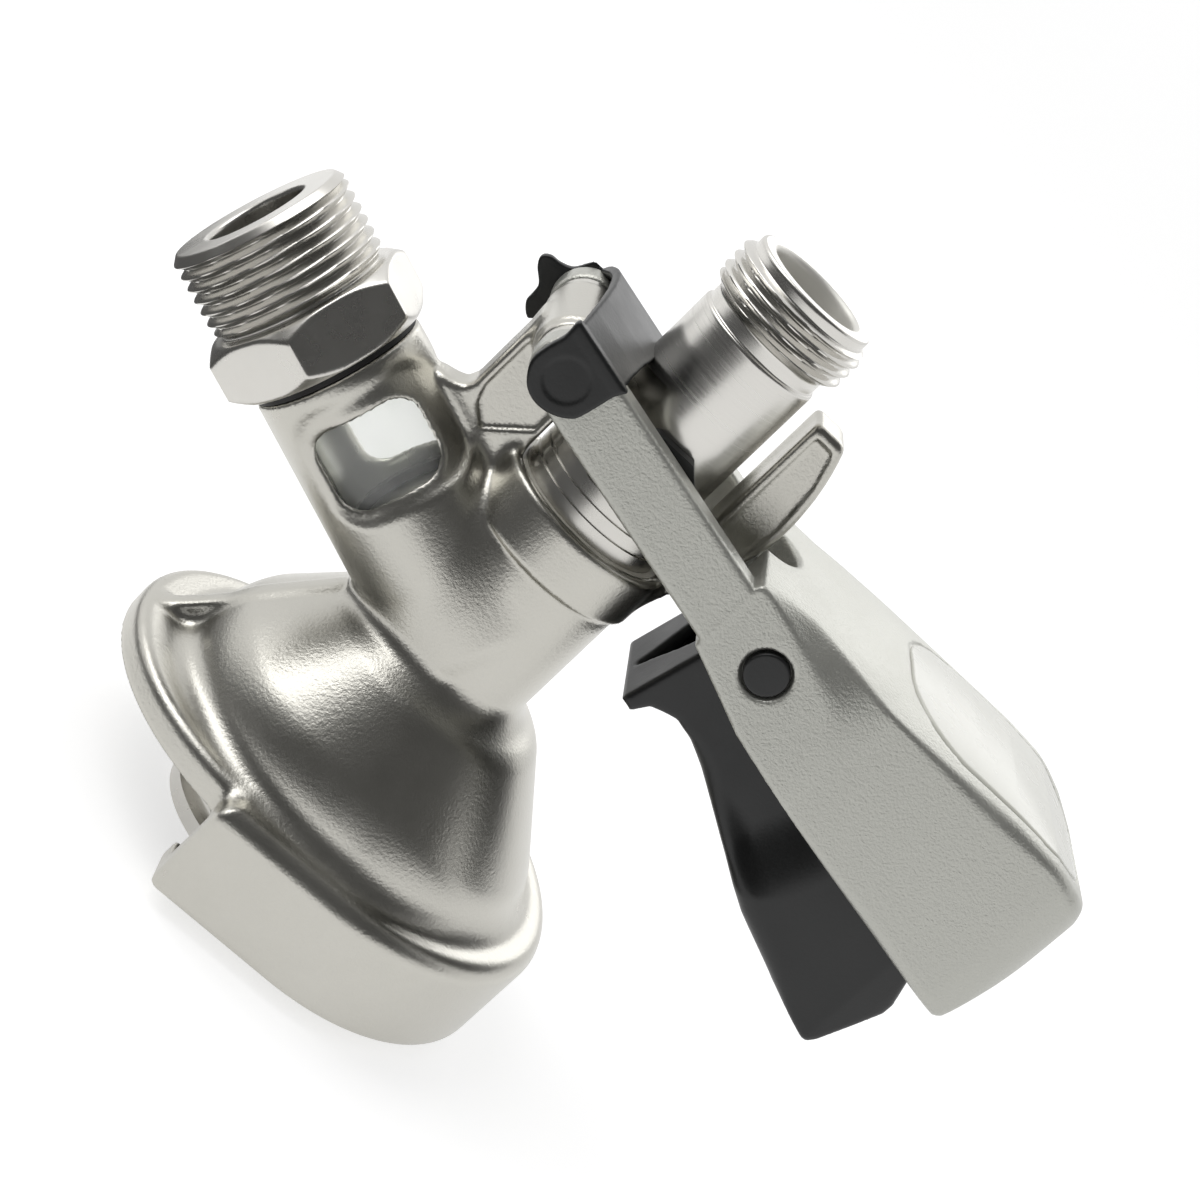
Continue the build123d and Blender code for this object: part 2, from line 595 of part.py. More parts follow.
# Flanged bushes pressed into the boss, one from each side
BUSH_FACE = ARM_IN - HINGE_GAP
BUSH_LEN = BOSS_HALF - HINGE_GAP
FLANGE_LEN = BUSH_FACE - BOSS_HALF
with BuildPart() as hinge_bushes:
    turnings = ((BUSH_FACE, BUSH_FLANGE_R, FLANGE_LEN), (BOSS_HALF, BUSH_R, BUSH_LEN),
                (-HINGE_GAP, BUSH_R, BUSH_LEN), (-BOSS_HALF, BUSH_FLANGE_R, FLANGE_LEN))
    for start, radius, length in turnings:
        with BuildSketch(arm_plane(start)):
            Circle(radius)
            Circle(PIN_R + RUN_FIT, mode=Mode.SUBTRACT)
        extrude(amount=length)
save(hinge_bushes, "hinge_bushes")

# Probe: foot, gas passage around the line, and collar with its O-ring grooves
with BuildPart() as probe_tube:
    heights = (FOOT_Z, FOOT_Z + FOOT_H, FOOT_Z + FOOT_H + FOOT_NECK_H)
    for base, radius, height in zip(heights, (FOOT_R, FOOT_NECK_R, FOOT_R), (FOOT_H, FOOT_NECK_H, FOOT_BODY_H)):
        with BuildSketch(Plane.XY.offset(base)):
            Circle(radius)
        extrude(amount=height)
    with BuildSketch(Plane.XY.offset(FOOT_Z)):
        Circle(LINE_R)
    extrude(amount=COLLAR_LOW_Z - FOOT_Z)
    with BuildSketch(Plane.XY.offset(COLLAR_LOW_Z)):
        Circle(PROBE_R)
    extrude(amount=SHOULDER_Z - COLLAR_LOW_Z)
    for height in RING_Z:
        with BuildSketch(Plane.XY.offset(height - RING_WIDTH / 2)):
            Circle(PROBE_R)
            Circle(RING_GROOVE_R, mode=Mode.SUBTRACT)
        extrude(amount=RING_WIDTH, mode=Mode.SUBTRACT)
    for height in FINE_GROOVE_Z:
        with BuildSketch(Plane.XY.offset(height)):
            Circle(PROBE_R)
            Circle(PROBE_R - FINE_GROOVE_D, mode=Mode.SUBTRACT)
        extrude(amount=FINE_GROOVE_W, mode=Mode.SUBTRACT)
    with BuildSketch(Plane.XY.offset(FOOT_Z)):
        Circle(BEER_LINE_R)
    extrude(amount=SHOULDER_Z - FOOT_Z, mode=Mode.SUBTRACT)
    with BuildSketch(Plane.XY.offset(FOOT_Z)):
        Circle(FOOT_PORT_R)
    extrude(amount=FOOT_PORT_H, mode=Mode.SUBTRACT)
    with BuildSketch(Plane.XY.offset(SHOULDER_Z - SPIGOT_LEN)):
        Circle(SPIGOT_R + RUN_FIT)
    extrude(amount=SPIGOT_LEN, mode=Mode.SUBTRACT)
    for side in (1, -1):
        with BuildSketch(Plane.XY.offset(TRUNNION_Z - BLOCK_SIZE / 2 - RUN_FIT)):
            with Locations((0, side * (BLOCK_IN_Y - RUN_FIT + PROBE_R / 2))):
                Rectangle(BLOCK_SIZE + 2 * LOOSE_FIT, PROBE_R)
        extrude(amount=BLOCK_SIZE, mode=Mode.SUBTRACT)
save(probe_tube, "probe_tube")

probe_seal = ring_on(Plane.XY.offset(FOOT_Z + FOOT_H + FOOT_NECK_H + FOOT_BODY_H), SEAL_R, LINE_R, SEAL_LEN)
save(probe_seal, "probe_seal")
with BuildPart() as probe_o_rings:
    for height in RING_Z:
        with BuildSketch(Plane.XY.offset(height - RING_WIDTH / 2)):
            Circle(RING_OUT_R)
            Circle(RING_GROOVE_R, mode=Mode.SUBTRACT)
        extrude(amount=RING_WIDTH)
save(probe_o_rings, "probe_o_rings")

# Beer outlet with its threaded end, its spigot in the collar
with BuildPart() as outlet_tube:
    spans = ((SHOULDER_Z - SPIGOT_LEN, SHOULDER_Z, SPIGOT_R), (SHOULDER_Z, GROOVE_Z, TUBE_R),
             (GROOVE_Z, THREAD_BOTTOM, TUBE_NECK_R), (THREAD_BOTTOM, OUTLET_TOP - NOSE_H, BEER_THREAD_R),
             (OUTLET_TOP - NOSE_H, OUTLET_TOP, NOSE_R))
    for low, high, radius in spans:
        with BuildSketch(Plane.XY.offset(low)):
            Circle(radius)
        extrude(amount=high - low)
    with BuildSketch(Plane.XY.offset(SHOULDER_Z)):
        Circle(BEER_BORE_R)
    extrude(amount=OUTLET_TOP - SHOULDER_Z, mode=Mode.SUBTRACT)
    with BuildSketch(Plane.XY.offset(SHOULDER_Z - SPIGOT_LEN)):
        Circle(BEER_LINE_R)
    with BuildSketch(Plane.XY.offset(SHOULDER_Z)):
        Circle(BEER_BORE_R)
    loft(mode=Mode.SUBTRACT)
    chamfer(outlet_tube.edges().group_by(Axis.Z)[-1].filter_by(lambda e: e.radius < NOSE_R - RUN_FIT),
            BEER_CHAMFER)
save(outlet_tube, "outlet_tube")

# Trunnion blocks beside the tube, and the pins that run in the arms' slots
with BuildPart() as trunnion_blocks:
    for start in (ARM_IN - BLOCK_GAP, -BLOCK_IN_Y):
        with BuildSketch(side_plane(start)):
            with Locations((0, TRUNNION_Z)):
                Rectangle(BLOCK_SIZE, BLOCK_SIZE)
            chamfer(vertices(), BLOCK_CHAMFER)
            with Locations((0, TRUNNION_Z)):
                Circle(TRUNNION_R, mode=Mode.SUBTRACT)
        extrude(amount=ARM_IN - BLOCK_GAP - BLOCK_IN_Y)
    with BuildSketch(Plane.XY.offset(SHOULDER_Z - SPIGOT_LEN)):
        Circle(TUBE_R + RUN_FIT)
    extrude(amount=GROOVE_Z - SHOULDER_Z + SPIGOT_LEN, mode=Mode.SUBTRACT)
save(trunnion_blocks, "trunnion_blocks")
TRUNNION_LEN = ARM_IN + SLOT_DEPTH - TRUNNION_END_GAP - TUBE_R - LOOSE_FIT
with BuildPart() as trunnion_pins:
    for start in (ARM_IN + SLOT_DEPTH - TRUNNION_END_GAP, -TUBE_R - LOOSE_FIT):
        with BuildSketch(side_plane(start)):
            with Locations((0, TRUNNION_Z)):
                Circle(TRUNNION_R)
        extrude(amount=TRUNNION_LEN)
save(trunnion_pins, "trunnion_pins")

# Outlines of the grip, seen from the side and from above
with BuildSketch() as grip_side:
    with BuildLine():
        Spline(*GRIP_CROWN)
        Spline(*GRIP_NOSE)
        Polyline(*GRIP_UNDER)
    make_face()
with BuildSketch() as grip_plan:
    with BuildLine():
        rim = Spline(*both_sides(GRIP_PLAN))
        Line(rim @ 1, rim @ 0)
    make_face()

# Outside of the grip, with its crown and the two facets that run out from the arms
with BuildPart() as grip_outer:
    with BuildSketch(hinge_plane(GRIP_HALF)):
        add(grip_side.sketch)
    extrude(amount=2 * GRIP_HALF)
    with BuildSketch(above_hinge(-TOO_LONG / 2)):
        add(grip_plan.sketch)
    extrude(amount=TOO_LONG, mode=Mode.INTERSECT)
    with BuildSketch(across_grip(0)):
        with Locations((0, CROWN_TOP - CROWN_R)):
            Circle(CROWN_R)
    extrude(amount=TOO_LONG, mode=Mode.INTERSECT)
    for side in (1, -1):
        for x, outline in ((FACET_FROM, FACET_ROOT), (FACET_TO, FACET_TIP)):
            with BuildSketch(across_grip(x)):
                Polygon(*[(side * y, z) for y, z in outline], align=None)
        loft(ruled=True, mode=Mode.SUBTRACT)

# Inside of the grip, one wall in from its outlines and open below
with BuildPart() as grip_core:
    with BuildSketch(hinge_plane(GRIP_HALF)):
        Polygon(*CORE_SIDE, align=None)
    extrude(amount=2 * GRIP_HALF)
    with BuildSketch(above_hinge(-TOO_LONG / 2)):
        Polygon(*both_sides(CORE_PLAN), align=None)
    extrude(amount=TOO_LONG, mode=Mode.INTERSECT)

# Label plate, a slice of the crown as deep as its recess
with BuildPart() as label_plate:
    add(grip_outer.part)
    add(grip_outer.part.moved(Location((0, 0, -LABEL_DEPTH))), mode=Mode.SUBTRACT)
    with BuildSketch(above_hinge(GRIP_UNDER[-1][1] - LABEL_HALF)):
        with Locations(((LABEL_FROM + LABEL_TO) / 2, 0)):
            RectangleRounded(LABEL_TO - LABEL_FROM, 2 * LABEL_HALF, LABEL_ROUND)
    extrude(amount=2 * LABEL_HALF, mode=Mode.INTERSECT)
save(label_plate, "label_plate")

# Handle: arms, web and hollow grip
with BuildPart() as handle_shell:
    add(grip_outer.part)
    add(grip_core.part, mode=Mode.SUBTRACT)
    with BuildSketch(hinge_plane(ARM_IN)):
        Polygon(*WEB_UNDER, align=None)
    extrude(amount=2 * ARM_IN, mode=Mode.SUBTRACT)
    with BuildSketch(above_hinge(-TOO_LONG / 2)):
        with Locations((NOTCH_END - NOTCH_HALF, 0)):
            Circle(NOTCH_HALF)
        with Locations((NOTCH_END - 2 * NOTCH_HALF, 0)):
            Rectangle(2 * NOTCH_HALF, 2 * NOTCH_HALF)
    extrude(amount=TOO_LONG, mode=Mode.SUBTRACT)
    for start in (ARM_OUT, -ARM_IN):
        with BuildSketch(arm_plane(start)):
            Circle(ARM_END_R)
            with Locations((ARM_LENGTH / 2, 0)):
                Rectangle(ARM_LENGTH, 2 * ARM_END_R)
        extrude(amount=ARM_OUT - ARM_IN)
    with BuildSketch(arm_plane(ARM_OUT)):
        Circle(PIN_R)
    extrude(amount=2 * ARM_OUT, mode=Mode.SUBTRACT)
    for start in (ARM_IN + SLOT_DEPTH, -ARM_IN):
        with BuildSketch(arm_plane(start)):
            with Locations(((SLOT_NEAR + SLOT_FAR) / 2, 0)):
                SlotCenterToCenter(SLOT_FAR - SLOT_NEAR, 2 * (TRUNNION_R + SLOT_PLAY))
        extrude(amount=SLOT_DEPTH, mode=Mode.SUBTRACT)
    with BuildSketch(hinge_plane(GRIP_HALF)):
        with Locations((LATCH_X, LATCH_Z)):
            Circle(LATCH_PIN_R)
    extrude(amount=2 * GRIP_HALF, mode=Mode.SUBTRACT)
    for start in (GRIP_HALF, -PLUG_IN_Y):
        with BuildSketch(hinge_plane(start)):
            with Locations((LATCH_X, LATCH_Z)):
                Circle(PLUG_R)
        extrude(amount=GRIP_HALF - PLUG_IN_Y, mode=Mode.SUBTRACT)
    add(label_plate.part, mode=Mode.SUBTRACT)
save(handle_shell, "handle_shell")

# Pins of the hinge and of the latch, and the plugs that close the latch pin's bore
for name, centre, radius, half in (("hinge_pin", (0, 0), PIN_R, ARM_OUT),
                                   ("latch_pin", (LATCH_X, LATCH_Z), LATCH_PIN_R, PLUG_IN_Y)):
    with BuildPart() as pin:
        with BuildSketch(hinge_plane(half)):
            with Locations(centre):
                Circle(radius)
        extrude(amount=2 * half)
    save(pin, name)
with BuildPart() as pin_plugs:
    for start in (PLUG_OUT_Y, -PLUG_IN_Y):
        with BuildSketch(hinge_plane(start)):
            with Locations((LATCH_X, LATCH_Z)):
                Circle(PLUG_R)
        extrude(amount=PLUG_OUT_Y - PLUG_IN_Y)
save(pin_plugs, "pin_plugs")

# Clip over the hinge: an arched strap from the near plate to the scalloped far plate
ACROSS_ARM = Plane(origin=(HINGE_X, 0, HINGE_Z), x_dir=(0, 1, 0), z_dir=(SLOPE_COS, 0, -SLOPE_SIN))
OVER_ARM = Plane(origin=(HINGE_X, 0, HINGE_Z), x_dir=(SLOPE_COS, 0, -SLOPE_SIN), z_dir=(SLOPE_SIN, 0, SLOPE_COS))
with BuildPart() as hinge_clip:
    with BuildSketch(ACROSS_ARM.offset(-FAR_PLATE_U)):
        with BuildLine():
            top = Spline(*CLIP_ARCH)
            under = Spline(*CLIP_ARCH_IN)
            Line(top @ 1, under @ 0)
            Line(under @ 1, top @ 0)
        make_face()
    extrude(amount=2 * FAR_PLATE_U)
    with BuildSketch(OVER_ARM):
        with BuildLine():
            edge = Spline(*CLIP_EDGE)
            Polyline(edge @ 1, *CLIP_FRONT, edge @ 0)
        make_face()
    extrude(amount=TOO_LONG, mode=Mode.INTERSECT)
    with BuildSketch(arm_plane(ARM_OUT + CLIP_PLATE)):
        with Locations((CLIP_MID_U, 0)):
            Circle(CLIP_HALF_U)
        with Locations((CLIP_MID_U, CLIP_TOP / 2)):
            Rectangle(2 * CLIP_HALF_U, CLIP_TOP)
    extrude(amount=CLIP_PLATE)
    with BuildSketch(arm_plane(-ARM_OUT)):
        Circle(FAR_PLATE_R)
        with Locations((FAR_PLATE_U / 2, FAR_PLATE_TOP / 2)):
            Rectangle(FAR_PLATE_U, FAR_PLATE_TOP)
        with Locations((0, FAR_PLATE_TOP + FAR_PLATE_R)):
            Rectangle(TOO_LONG, 2 * FAR_PLATE_R, mode=Mode.SUBTRACT)
        with Locations(*SCALLOPS):
            Circle(SCALLOP_R, mode=Mode.SUBTRACT)
    extrude(amount=CLIP_PLATE)
save(hinge_clip, "hinge_clip")

# Lever under the grip: side outline, plan outline, flat cheeks, hollow, slot in the front block
with BuildPart() as latch_lever:
    with BuildSketch(hinge_plane(GRIP_HALF)):
        with BuildLine():
            Spline(*LEVER_UNDER)
            Polyline(*LEVER_TOP)
        make_face()
    extrude(amount=2 * GRIP_HALF)
    with BuildSketch(above_hinge(-TOO_LONG / 2)):
        Polygon(*both_sides(LEVER_PLAN), align=None)
    extrude(amount=TOO_LONG, mode=Mode.INTERSECT)
    for start in (GRIP_HALF, -CHEEK_HALF):
        with BuildSketch(hinge_plane(start)):
            Polygon(*CHEEK_OUTLINE, align=None)
        extrude(amount=GRIP_HALF - CHEEK_HALF, mode=Mode.SUBTRACT)
    with BuildSketch(above_hinge(-TOO_LONG / 2)):
        Polygon(*both_sides(LEVER_CORE_PLAN), align=None)
    core = extrude(amount=TOO_LONG, mode=Mode.PRIVATE)
    with BuildSketch(hinge_plane(GRIP_HALF)):
        Polygon(*LEVER_CORE_SIDE, align=None)
    core_side = extrude(amount=2 * GRIP_HALF, mode=Mode.PRIVATE)
    add(core & core_side, mode=Mode.SUBTRACT)
    with BuildSketch(above_hinge(LEVER_SLOT_Z)):
        with Locations((LEVER_SLOT_TO / 2, 0)):
            Rectangle(LEVER_SLOT_TO, 2 * LEVER_SLOT_HALF)
    extrude(amount=TOO_LONG, mode=Mode.SUBTRACT)
    with BuildSketch(above_hinge(POST_FOOT)):
        with Locations((SPRING_X, 0)):
            Circle(POST_R)
    extrude(amount=SPRING_LOW - POST_FOOT)
    with BuildSketch(above_hinge(SPRING_LOW)):
        with Locations((SPRING_X, 0)):
            Circle(POST_PEG_R)
    extrude(amount=POST_PEG_H)
    with BuildSketch(hinge_plane(GRIP_HALF)):
        with Locations((LATCH_X, LATCH_Z)):
            Circle(LATCH_PIN_R + RUN_FIT)
    extrude(amount=2 * GRIP_HALF, mode=Mode.SUBTRACT)
save(latch_lever, "latch_lever")

# Return spring between the lever and the roof of the grip
spring_axis = (HINGE_X + SPRING_X, 0, HINGE_Z + SPRING_LOW + SPRING_WIRE)
with BuildPart() as latch_spring:
    with BuildLine():
        Helix(pitch=SPRING_PITCH, height=SPRING_TOP - SPRING_LOW - 2 * SPRING_WIRE, radius=SPRING_R,
              center=spring_axis)
    with BuildSketch(Plane(origin=(spring_axis[0] + SPRING_R, 0, spring_axis[2]), z_dir=(0, 1, 0))):
        Circle(SPRING_WIRE)
    sweep(is_frenet=True)
save(latch_spring, "latch_spring")
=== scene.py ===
"""Keg coupler: the visible surfaces, finishes, camera and studio.

Castings and mouldings are skinned from distance fields, so that their edges and inside corners are as
soft as the real ones. Turned pieces are lathed with their real helical threads. Lengths in this file are
in millimetres where a name ends in _mm or a size property says so, and in metres on Blender objects.
"""
import json
import math

import bmesh
import bpy
import numpy as np
from bpy.props import FloatProperty, FloatVectorProperty, PointerProperty
from mathutils import Matrix, Vector


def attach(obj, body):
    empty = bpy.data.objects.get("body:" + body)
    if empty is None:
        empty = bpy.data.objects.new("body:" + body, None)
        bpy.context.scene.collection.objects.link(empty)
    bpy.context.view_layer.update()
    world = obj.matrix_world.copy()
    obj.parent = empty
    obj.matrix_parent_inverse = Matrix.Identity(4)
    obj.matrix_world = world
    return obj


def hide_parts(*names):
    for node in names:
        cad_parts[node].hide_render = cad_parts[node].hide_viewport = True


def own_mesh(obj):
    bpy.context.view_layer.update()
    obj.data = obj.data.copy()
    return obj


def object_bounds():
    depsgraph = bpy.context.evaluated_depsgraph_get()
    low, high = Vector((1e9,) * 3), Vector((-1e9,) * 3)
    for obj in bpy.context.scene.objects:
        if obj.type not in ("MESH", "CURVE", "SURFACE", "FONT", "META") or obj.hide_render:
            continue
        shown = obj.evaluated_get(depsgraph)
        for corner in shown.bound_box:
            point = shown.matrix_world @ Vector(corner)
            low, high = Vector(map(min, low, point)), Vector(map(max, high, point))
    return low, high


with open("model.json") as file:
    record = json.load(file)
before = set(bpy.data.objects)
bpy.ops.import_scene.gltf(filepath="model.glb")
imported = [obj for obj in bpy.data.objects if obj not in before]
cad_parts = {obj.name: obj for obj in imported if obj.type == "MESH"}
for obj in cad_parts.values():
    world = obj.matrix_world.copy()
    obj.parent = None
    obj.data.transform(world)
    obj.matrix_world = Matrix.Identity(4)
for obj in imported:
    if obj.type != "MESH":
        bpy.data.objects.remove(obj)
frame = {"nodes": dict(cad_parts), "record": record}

bl_info = {
    "name": "Keg Coupler",
    "version": (1, 0, 0),
    "blender": (4, 5, 0),
    "location": "View3D > Sidebar > Coupler",
    "description": "Builds a keg coupler's castings, turned fittings, handle and studio",
    "category": "Add Mesh",
}

MM = 0.001
CAD_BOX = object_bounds()


# ---------------------------------------------------------------- distance fields

class Grid:
    """A box of sample points in millimetres, with x, y and z ready to broadcast."""

    def __init__(self, low, high, step):
        self.low = np.array(low, dtype=np.float64)
        self.step = step
        counts = [int(math.ceil((b - a) / step)) + 1 for a, b in zip(low, high)]
        axes = [a + step * np.arange(n) for a, n in zip(low, counts)]
        self.x = axes[0].astype(np.float32)[:, None, None]
        self.y = axes[1].astype(np.float32)[None, :, None]
        self.z = axes[2].astype(np.float32)[None, None, :]


def fuse(a, b, radius):
    """Union with a concave fillet of the given radius."""
    u = np.maximum(radius - a, 0)
    v = np.maximum(radius - b, 0)
    return np.maximum(radius, np.minimum(a, b)) - np.sqrt(u * u + v * v)


def trim(a, b, radius):
    """Intersection with a rounded edge."""
    return -fuse(-a, -b, radius)


def carve(a, b, radius):
    """The first shape less the second, with a rounded edge."""
    return -fuse(-a, b, radius)


def ease(value, start, end):
    """Smooth step from 0 at start to 1 at end."""
    t = np.clip((value - start) / (end - start), 0, 1)
    return t * t * (3 - 2 * t)


def outline(points, u, v):
    """Signed distance to a closed polygon in a plane."""
    pts = np.array(points, dtype=np.float32)
    best = np.full(np.broadcast(u, v).shape, 1e9, dtype=np.float32)
    inside = np.zeros(best.shape, dtype=bool)
    for (ax, ay), (bx, by) in zip(pts, np.roll(pts, -1, axis=0)):
        ex, ey = bx - ax, by - ay
        wu, wv = u - ax, v - ay
        t = np.clip((wu * ex + wv * ey) / (ex * ex + ey * ey + 1e-12), 0, 1)
        best = np.minimum(best, (wu - t * ex) ** 2 + (wv - t * ey) ** 2)
        crosses = ((ay <= v) & (by > v)) | ((by <= v) & (ay > v))
        side = (ex * wv - ey * wu) * (1 if by > ay else -1)
        inside ^= crosses & (side > 0)
    return np.where(inside, -1, 1) * np.sqrt(best)


def curve_points(points, per_span=8):
    """Catmull-Rom curve through the points of a closed outline."""
    pts = np.array(points, dtype=np.float64)
    out = []
    for i in range(len(pts)):
        p0, p1, p2, p3 = pts[i - 1], pts[i], pts[(i + 1) % len(pts)], pts[(i + 2) % len(pts)]
        for t in np.arange(per_span) / per_span:
            out.append(0.5 * (2 * p1 + (p2 - p0) * t + (2 * p0 - 5 * p1 + 4 * p2 - p3) * t * t
                              + (3 * p1 - p0 - 3 * p2 + p3) * t ** 3))
    return out


def prism(flat, along, half, radius):
    """A flat distance made as thick as 2 * half along an axis, with rounded edges."""
    return trim(flat, np.abs(along) - half, radius)


def skin_points(field):
    """Vertices and quads where the field is zero, one vertex in each cell that the surface crosses."""
    nx, ny, nz = field.shape
    below = field < 0
    count = np.zeros((nx - 1, ny - 1, nz - 1), dtype=np.int8)
    corners = [(i, j, k) for i in (0, 1) for j in (0, 1) for k in (0, 1)]
    for i, j, k in corners:
        count += below[i:nx - 1 + i, j:ny - 1 + j, k:nz - 1 + k]
    cells = np.argwhere((count > 0) & (count < 8))
    index = np.full(count.shape, -1, dtype=np.int64)
    index[tuple(cells.T)] = np.arange(len(cells))
    total = np.zeros((len(cells), 3))
    hits = np.zeros(len(cells))
    for a in corners:
        for axis in range(3):
            if a[axis]:
                continue
            b = list(a)
            b[axis] = 1
            fa = field[tuple((cells + a).T)].astype(np.float64)
            fb = field[tuple((cells + b).T)].astype(np.float64)
            crossed = (fa < 0) != (fb < 0)
            t = np.where(crossed, fa / np.where(crossed, fa - fb, 1), 0)
            spot = np.array(a, dtype=float)[None, :].repeat(len(cells), 0)
            spot[:, axis] = t
            total += spot * crossed[:, None]
            hits += crossed
    points = cells + total / hits[:, None]
    faces = []
    for axis in range(3):
        u, v = (axis + 1) % 3, (axis + 2) % 3
        near = [slice(1, -1)] * 3
        near[axis] = slice(0, -1)
        far = list(near)
        far[axis] = slice(1, None)
        fa, fb = below[tuple(near)], below[tuple(far)]
        for flips, chosen in ((False, fa & ~fb), (True, ~fa & fb)):
            at = np.argwhere(chosen)
            at[:, u] += 1
            at[:, v] += 1
            ring = []
            for du, dv in ((-1, -1), (0, -1), (0, 0), (-1, 0)):
                cell = at.copy()
                cell[:, u] += du
                cell[:, v] += dv
                ring.append(index[tuple(cell.T)])
            quad = np.stack(ring, 1)
            faces.append(quad[:, ::-1] if flips else quad)
    return points, np.concatenate(faces)


def sampled(values, points):
    """Trilinear value of a grid array at points given in cell units."""
    top = np.array(values.shape) - 2
    base = np.clip(np.floor(points).astype(int), 0, top)
    f = points - base
    total = 0
    for i in (0, 1):
        for j in (0, 1):
            for k in (0, 1):
                weight = (f[:, 0] if i else 1 - f[:, 0]) * (f[:, 1] if j else 1 - f[:, 1])
                weight = weight * (f[:, 2] if k else 1 - f[:, 2])
                total = total + weight * values[base[:, 0] + i, base[:, 1] + j, base[:, 2] + k]
    return total


def skinned(name, field, grid, place=None):
    """Mesh object of a distance field, with normals from the field, moved by a matrix if one is given."""
    points, faces = skin_points(field)
    slopes = np.gradient(field)
    for _ in range(2):
        value = sampled(field, points)
        slope = np.stack([sampled(s, points) for s in slopes], 1)
        square = np.maximum((slope ** 2).sum(1), 1e-6)
        points = points - np.clip(value / square, -0.5, 0.5)[:, None] * slope
    slope = np.stack([sampled(s, points) for s in slopes], 1)
    normals = slope / np.maximum(np.linalg.norm(slope, axis=1), 1e-9)[:, None]
    points = grid.low + points * grid.step
    if place is not None:
        turn = np.array(place)
        points = points @ turn[:3, :3].T + turn[:3, 3]
        normals = normals @ turn[:3, :3].T
    mesh = bpy.data.meshes.new(name)
    mesh.from_pydata((points * MM).tolist(), [], faces.tolist())
    mesh.polygons.foreach_set("use_smooth", [True] * len(mesh.polygons))
    mesh.normals_split_custom_set_from_vertices(normals.tolist())
    piece = bpy.data.objects.new(name, mesh)
    bpy.context.scene.collection.objects.link(piece)
    return piece


# ---------------------------------------------------------------- turned pieces

def branch_matrix(sizes):
    """Axes of the gas branch: X up its upper side, Z out along it."""
    tilt = sizes.branch_angle
    out = Vector((-math.sin(tilt), 0, math.cos(tilt)))
    up = Vector((math.cos(tilt), 0, math.sin(tilt)))
    side = out.cross(up)
    turn = Matrix((up, side, out)).transposed()
    return Matrix.Translation((0, 0, sizes.branch_cross * 1000)) @ turn.to_4x4()


def softened(profile, step):
    """Points of a profile with its (radius, height, fillet) corners rounded and its long runs divided."""
    out = []
    for i, point in enumerate(profile):
        here = np.array(point[:2], dtype=float)
        if len(point) == 2 or i in (0, len(profile) - 1):
            out.append(here)
            continue
        before = np.array(profile[i - 1][:2], dtype=float) - here
        after = np.array(profile[i + 1][:2], dtype=float) - here
        start = here + before * min(point[2] / np.linalg.norm(before), 0.48)
        end = here + after * min(point[2] / np.linalg.norm(after), 0.48)
        for t in (0, 0.2, 0.4, 0.6, 0.8, 1):
            out.append((1 - t) ** 2 * start + 2 * t * (1 - t) * here + t * t * end)
    dense = [out[0]]
    for a, b in zip(out, out[1:]):
        parts = max(1, int(np.linalg.norm(b - a) / step))
        dense += [a + (b - a) * k / parts for k in range(1, parts + 1)]
    return dense


def lathed(name, profile, place, around=160, thread=None):
    """Mesh turned about Z from (radius, height) points in millimetres, with a helical thread cut in.

    The thread is (low, high, pitch, depth, major radius). Its rounded vee advances by one pitch each
    turn, and runs out at both ends.
    """
    turn = np.arange(around) / around
    rows = []
    for radius, height in softened(profile, 0.16 if thread else 50.0):
        r = np.full(around, radius)
        if thread and thread[0] <= height <= thread[1] and radius > thread[4] - thread[3] - 0.3:
            low, high, pitch, depth, major = thread
            phase = (height / pitch - turn) % 1.0
            vee = ease(1 - np.abs(2 * phase - 1), 0.04, 0.96) * 0.5 + (1 - np.abs(2 * phase - 1)) * 0.5
            r = np.minimum(r, major - depth * vee * min(1.0, (height - low) / 0.9, (high - height) / 0.4))
        rows.append(np.stack([r * np.cos(2 * np.pi * turn), r * np.sin(2 * np.pi * turn),
                              np.full(around, height)], 1))
    points = np.concatenate(rows)
    faces = []
    for row in range(len(rows) - 1):
        a, b = row * around, (row + 1) * around
        faces += [(a + i, a + (i + 1) % around, b + (i + 1) % around, b + i) for i in range(around)]
    turned = np.array(place)
    points = points @ turned[:3, :3].T + turned[:3, 3]
    mesh = bpy.data.meshes.new(name)
    mesh.from_pydata((points * MM).tolist(), [], faces)
    bm = bmesh.new()
    bm.from_mesh(mesh)
    bmesh.ops.remove_doubles(bm, verts=bm.verts, dist=1e-6)
    bmesh.ops.recalc_face_normals(bm, faces=bm.faces)
    bm.to_mesh(mesh)
    bm.free()
    mesh.polygons.foreach_set("use_smooth", [True] * len(mesh.polygons))
    mesh.set_sharp_from_angle(angle=math.radians(34))
    piece = bpy.data.objects.new(name, mesh)
    bpy.context.scene.collection.objects.link(piece)
    return piece


# ---------------------------------------------------------------- finishes

def linear(code):
    """sRGB hex to linear RGBA."""
    values = [int(code[i:i + 2], 16) / 255 for i in (1, 3, 5)]
    return [v / 12.92 if v <= 0.04045 else ((v + 0.055) / 1.055) ** 2.4 for v in values] + [1.0]


def add_node(tree, kind, settings=None, links=None):
    """Add a node, set its properties and input values, and link its inputs."""
    node = tree.nodes.new(kind)
    for key, value in (settings or {}).items():
        if hasattr(node, key):
            setattr(node, key, value)
        else:
            node.inputs[key].default_value = value
    for key, source in (links or {}).items():
        tree.links.new(source, node.inputs[key])
    return node


def per_metre(size_mm):
    """Pattern scale whose features are about as large as the given size."""
    return 1000.0 / size_mm


def new_finish(name):
    """A material with an empty tree, its shader and its output."""
    finish = bpy.data.materials.new(name)
    finish.use_nodes = True
    tree = finish.node_tree
    shader = tree.nodes["Principled BSDF"]
    return finish, tree, shader


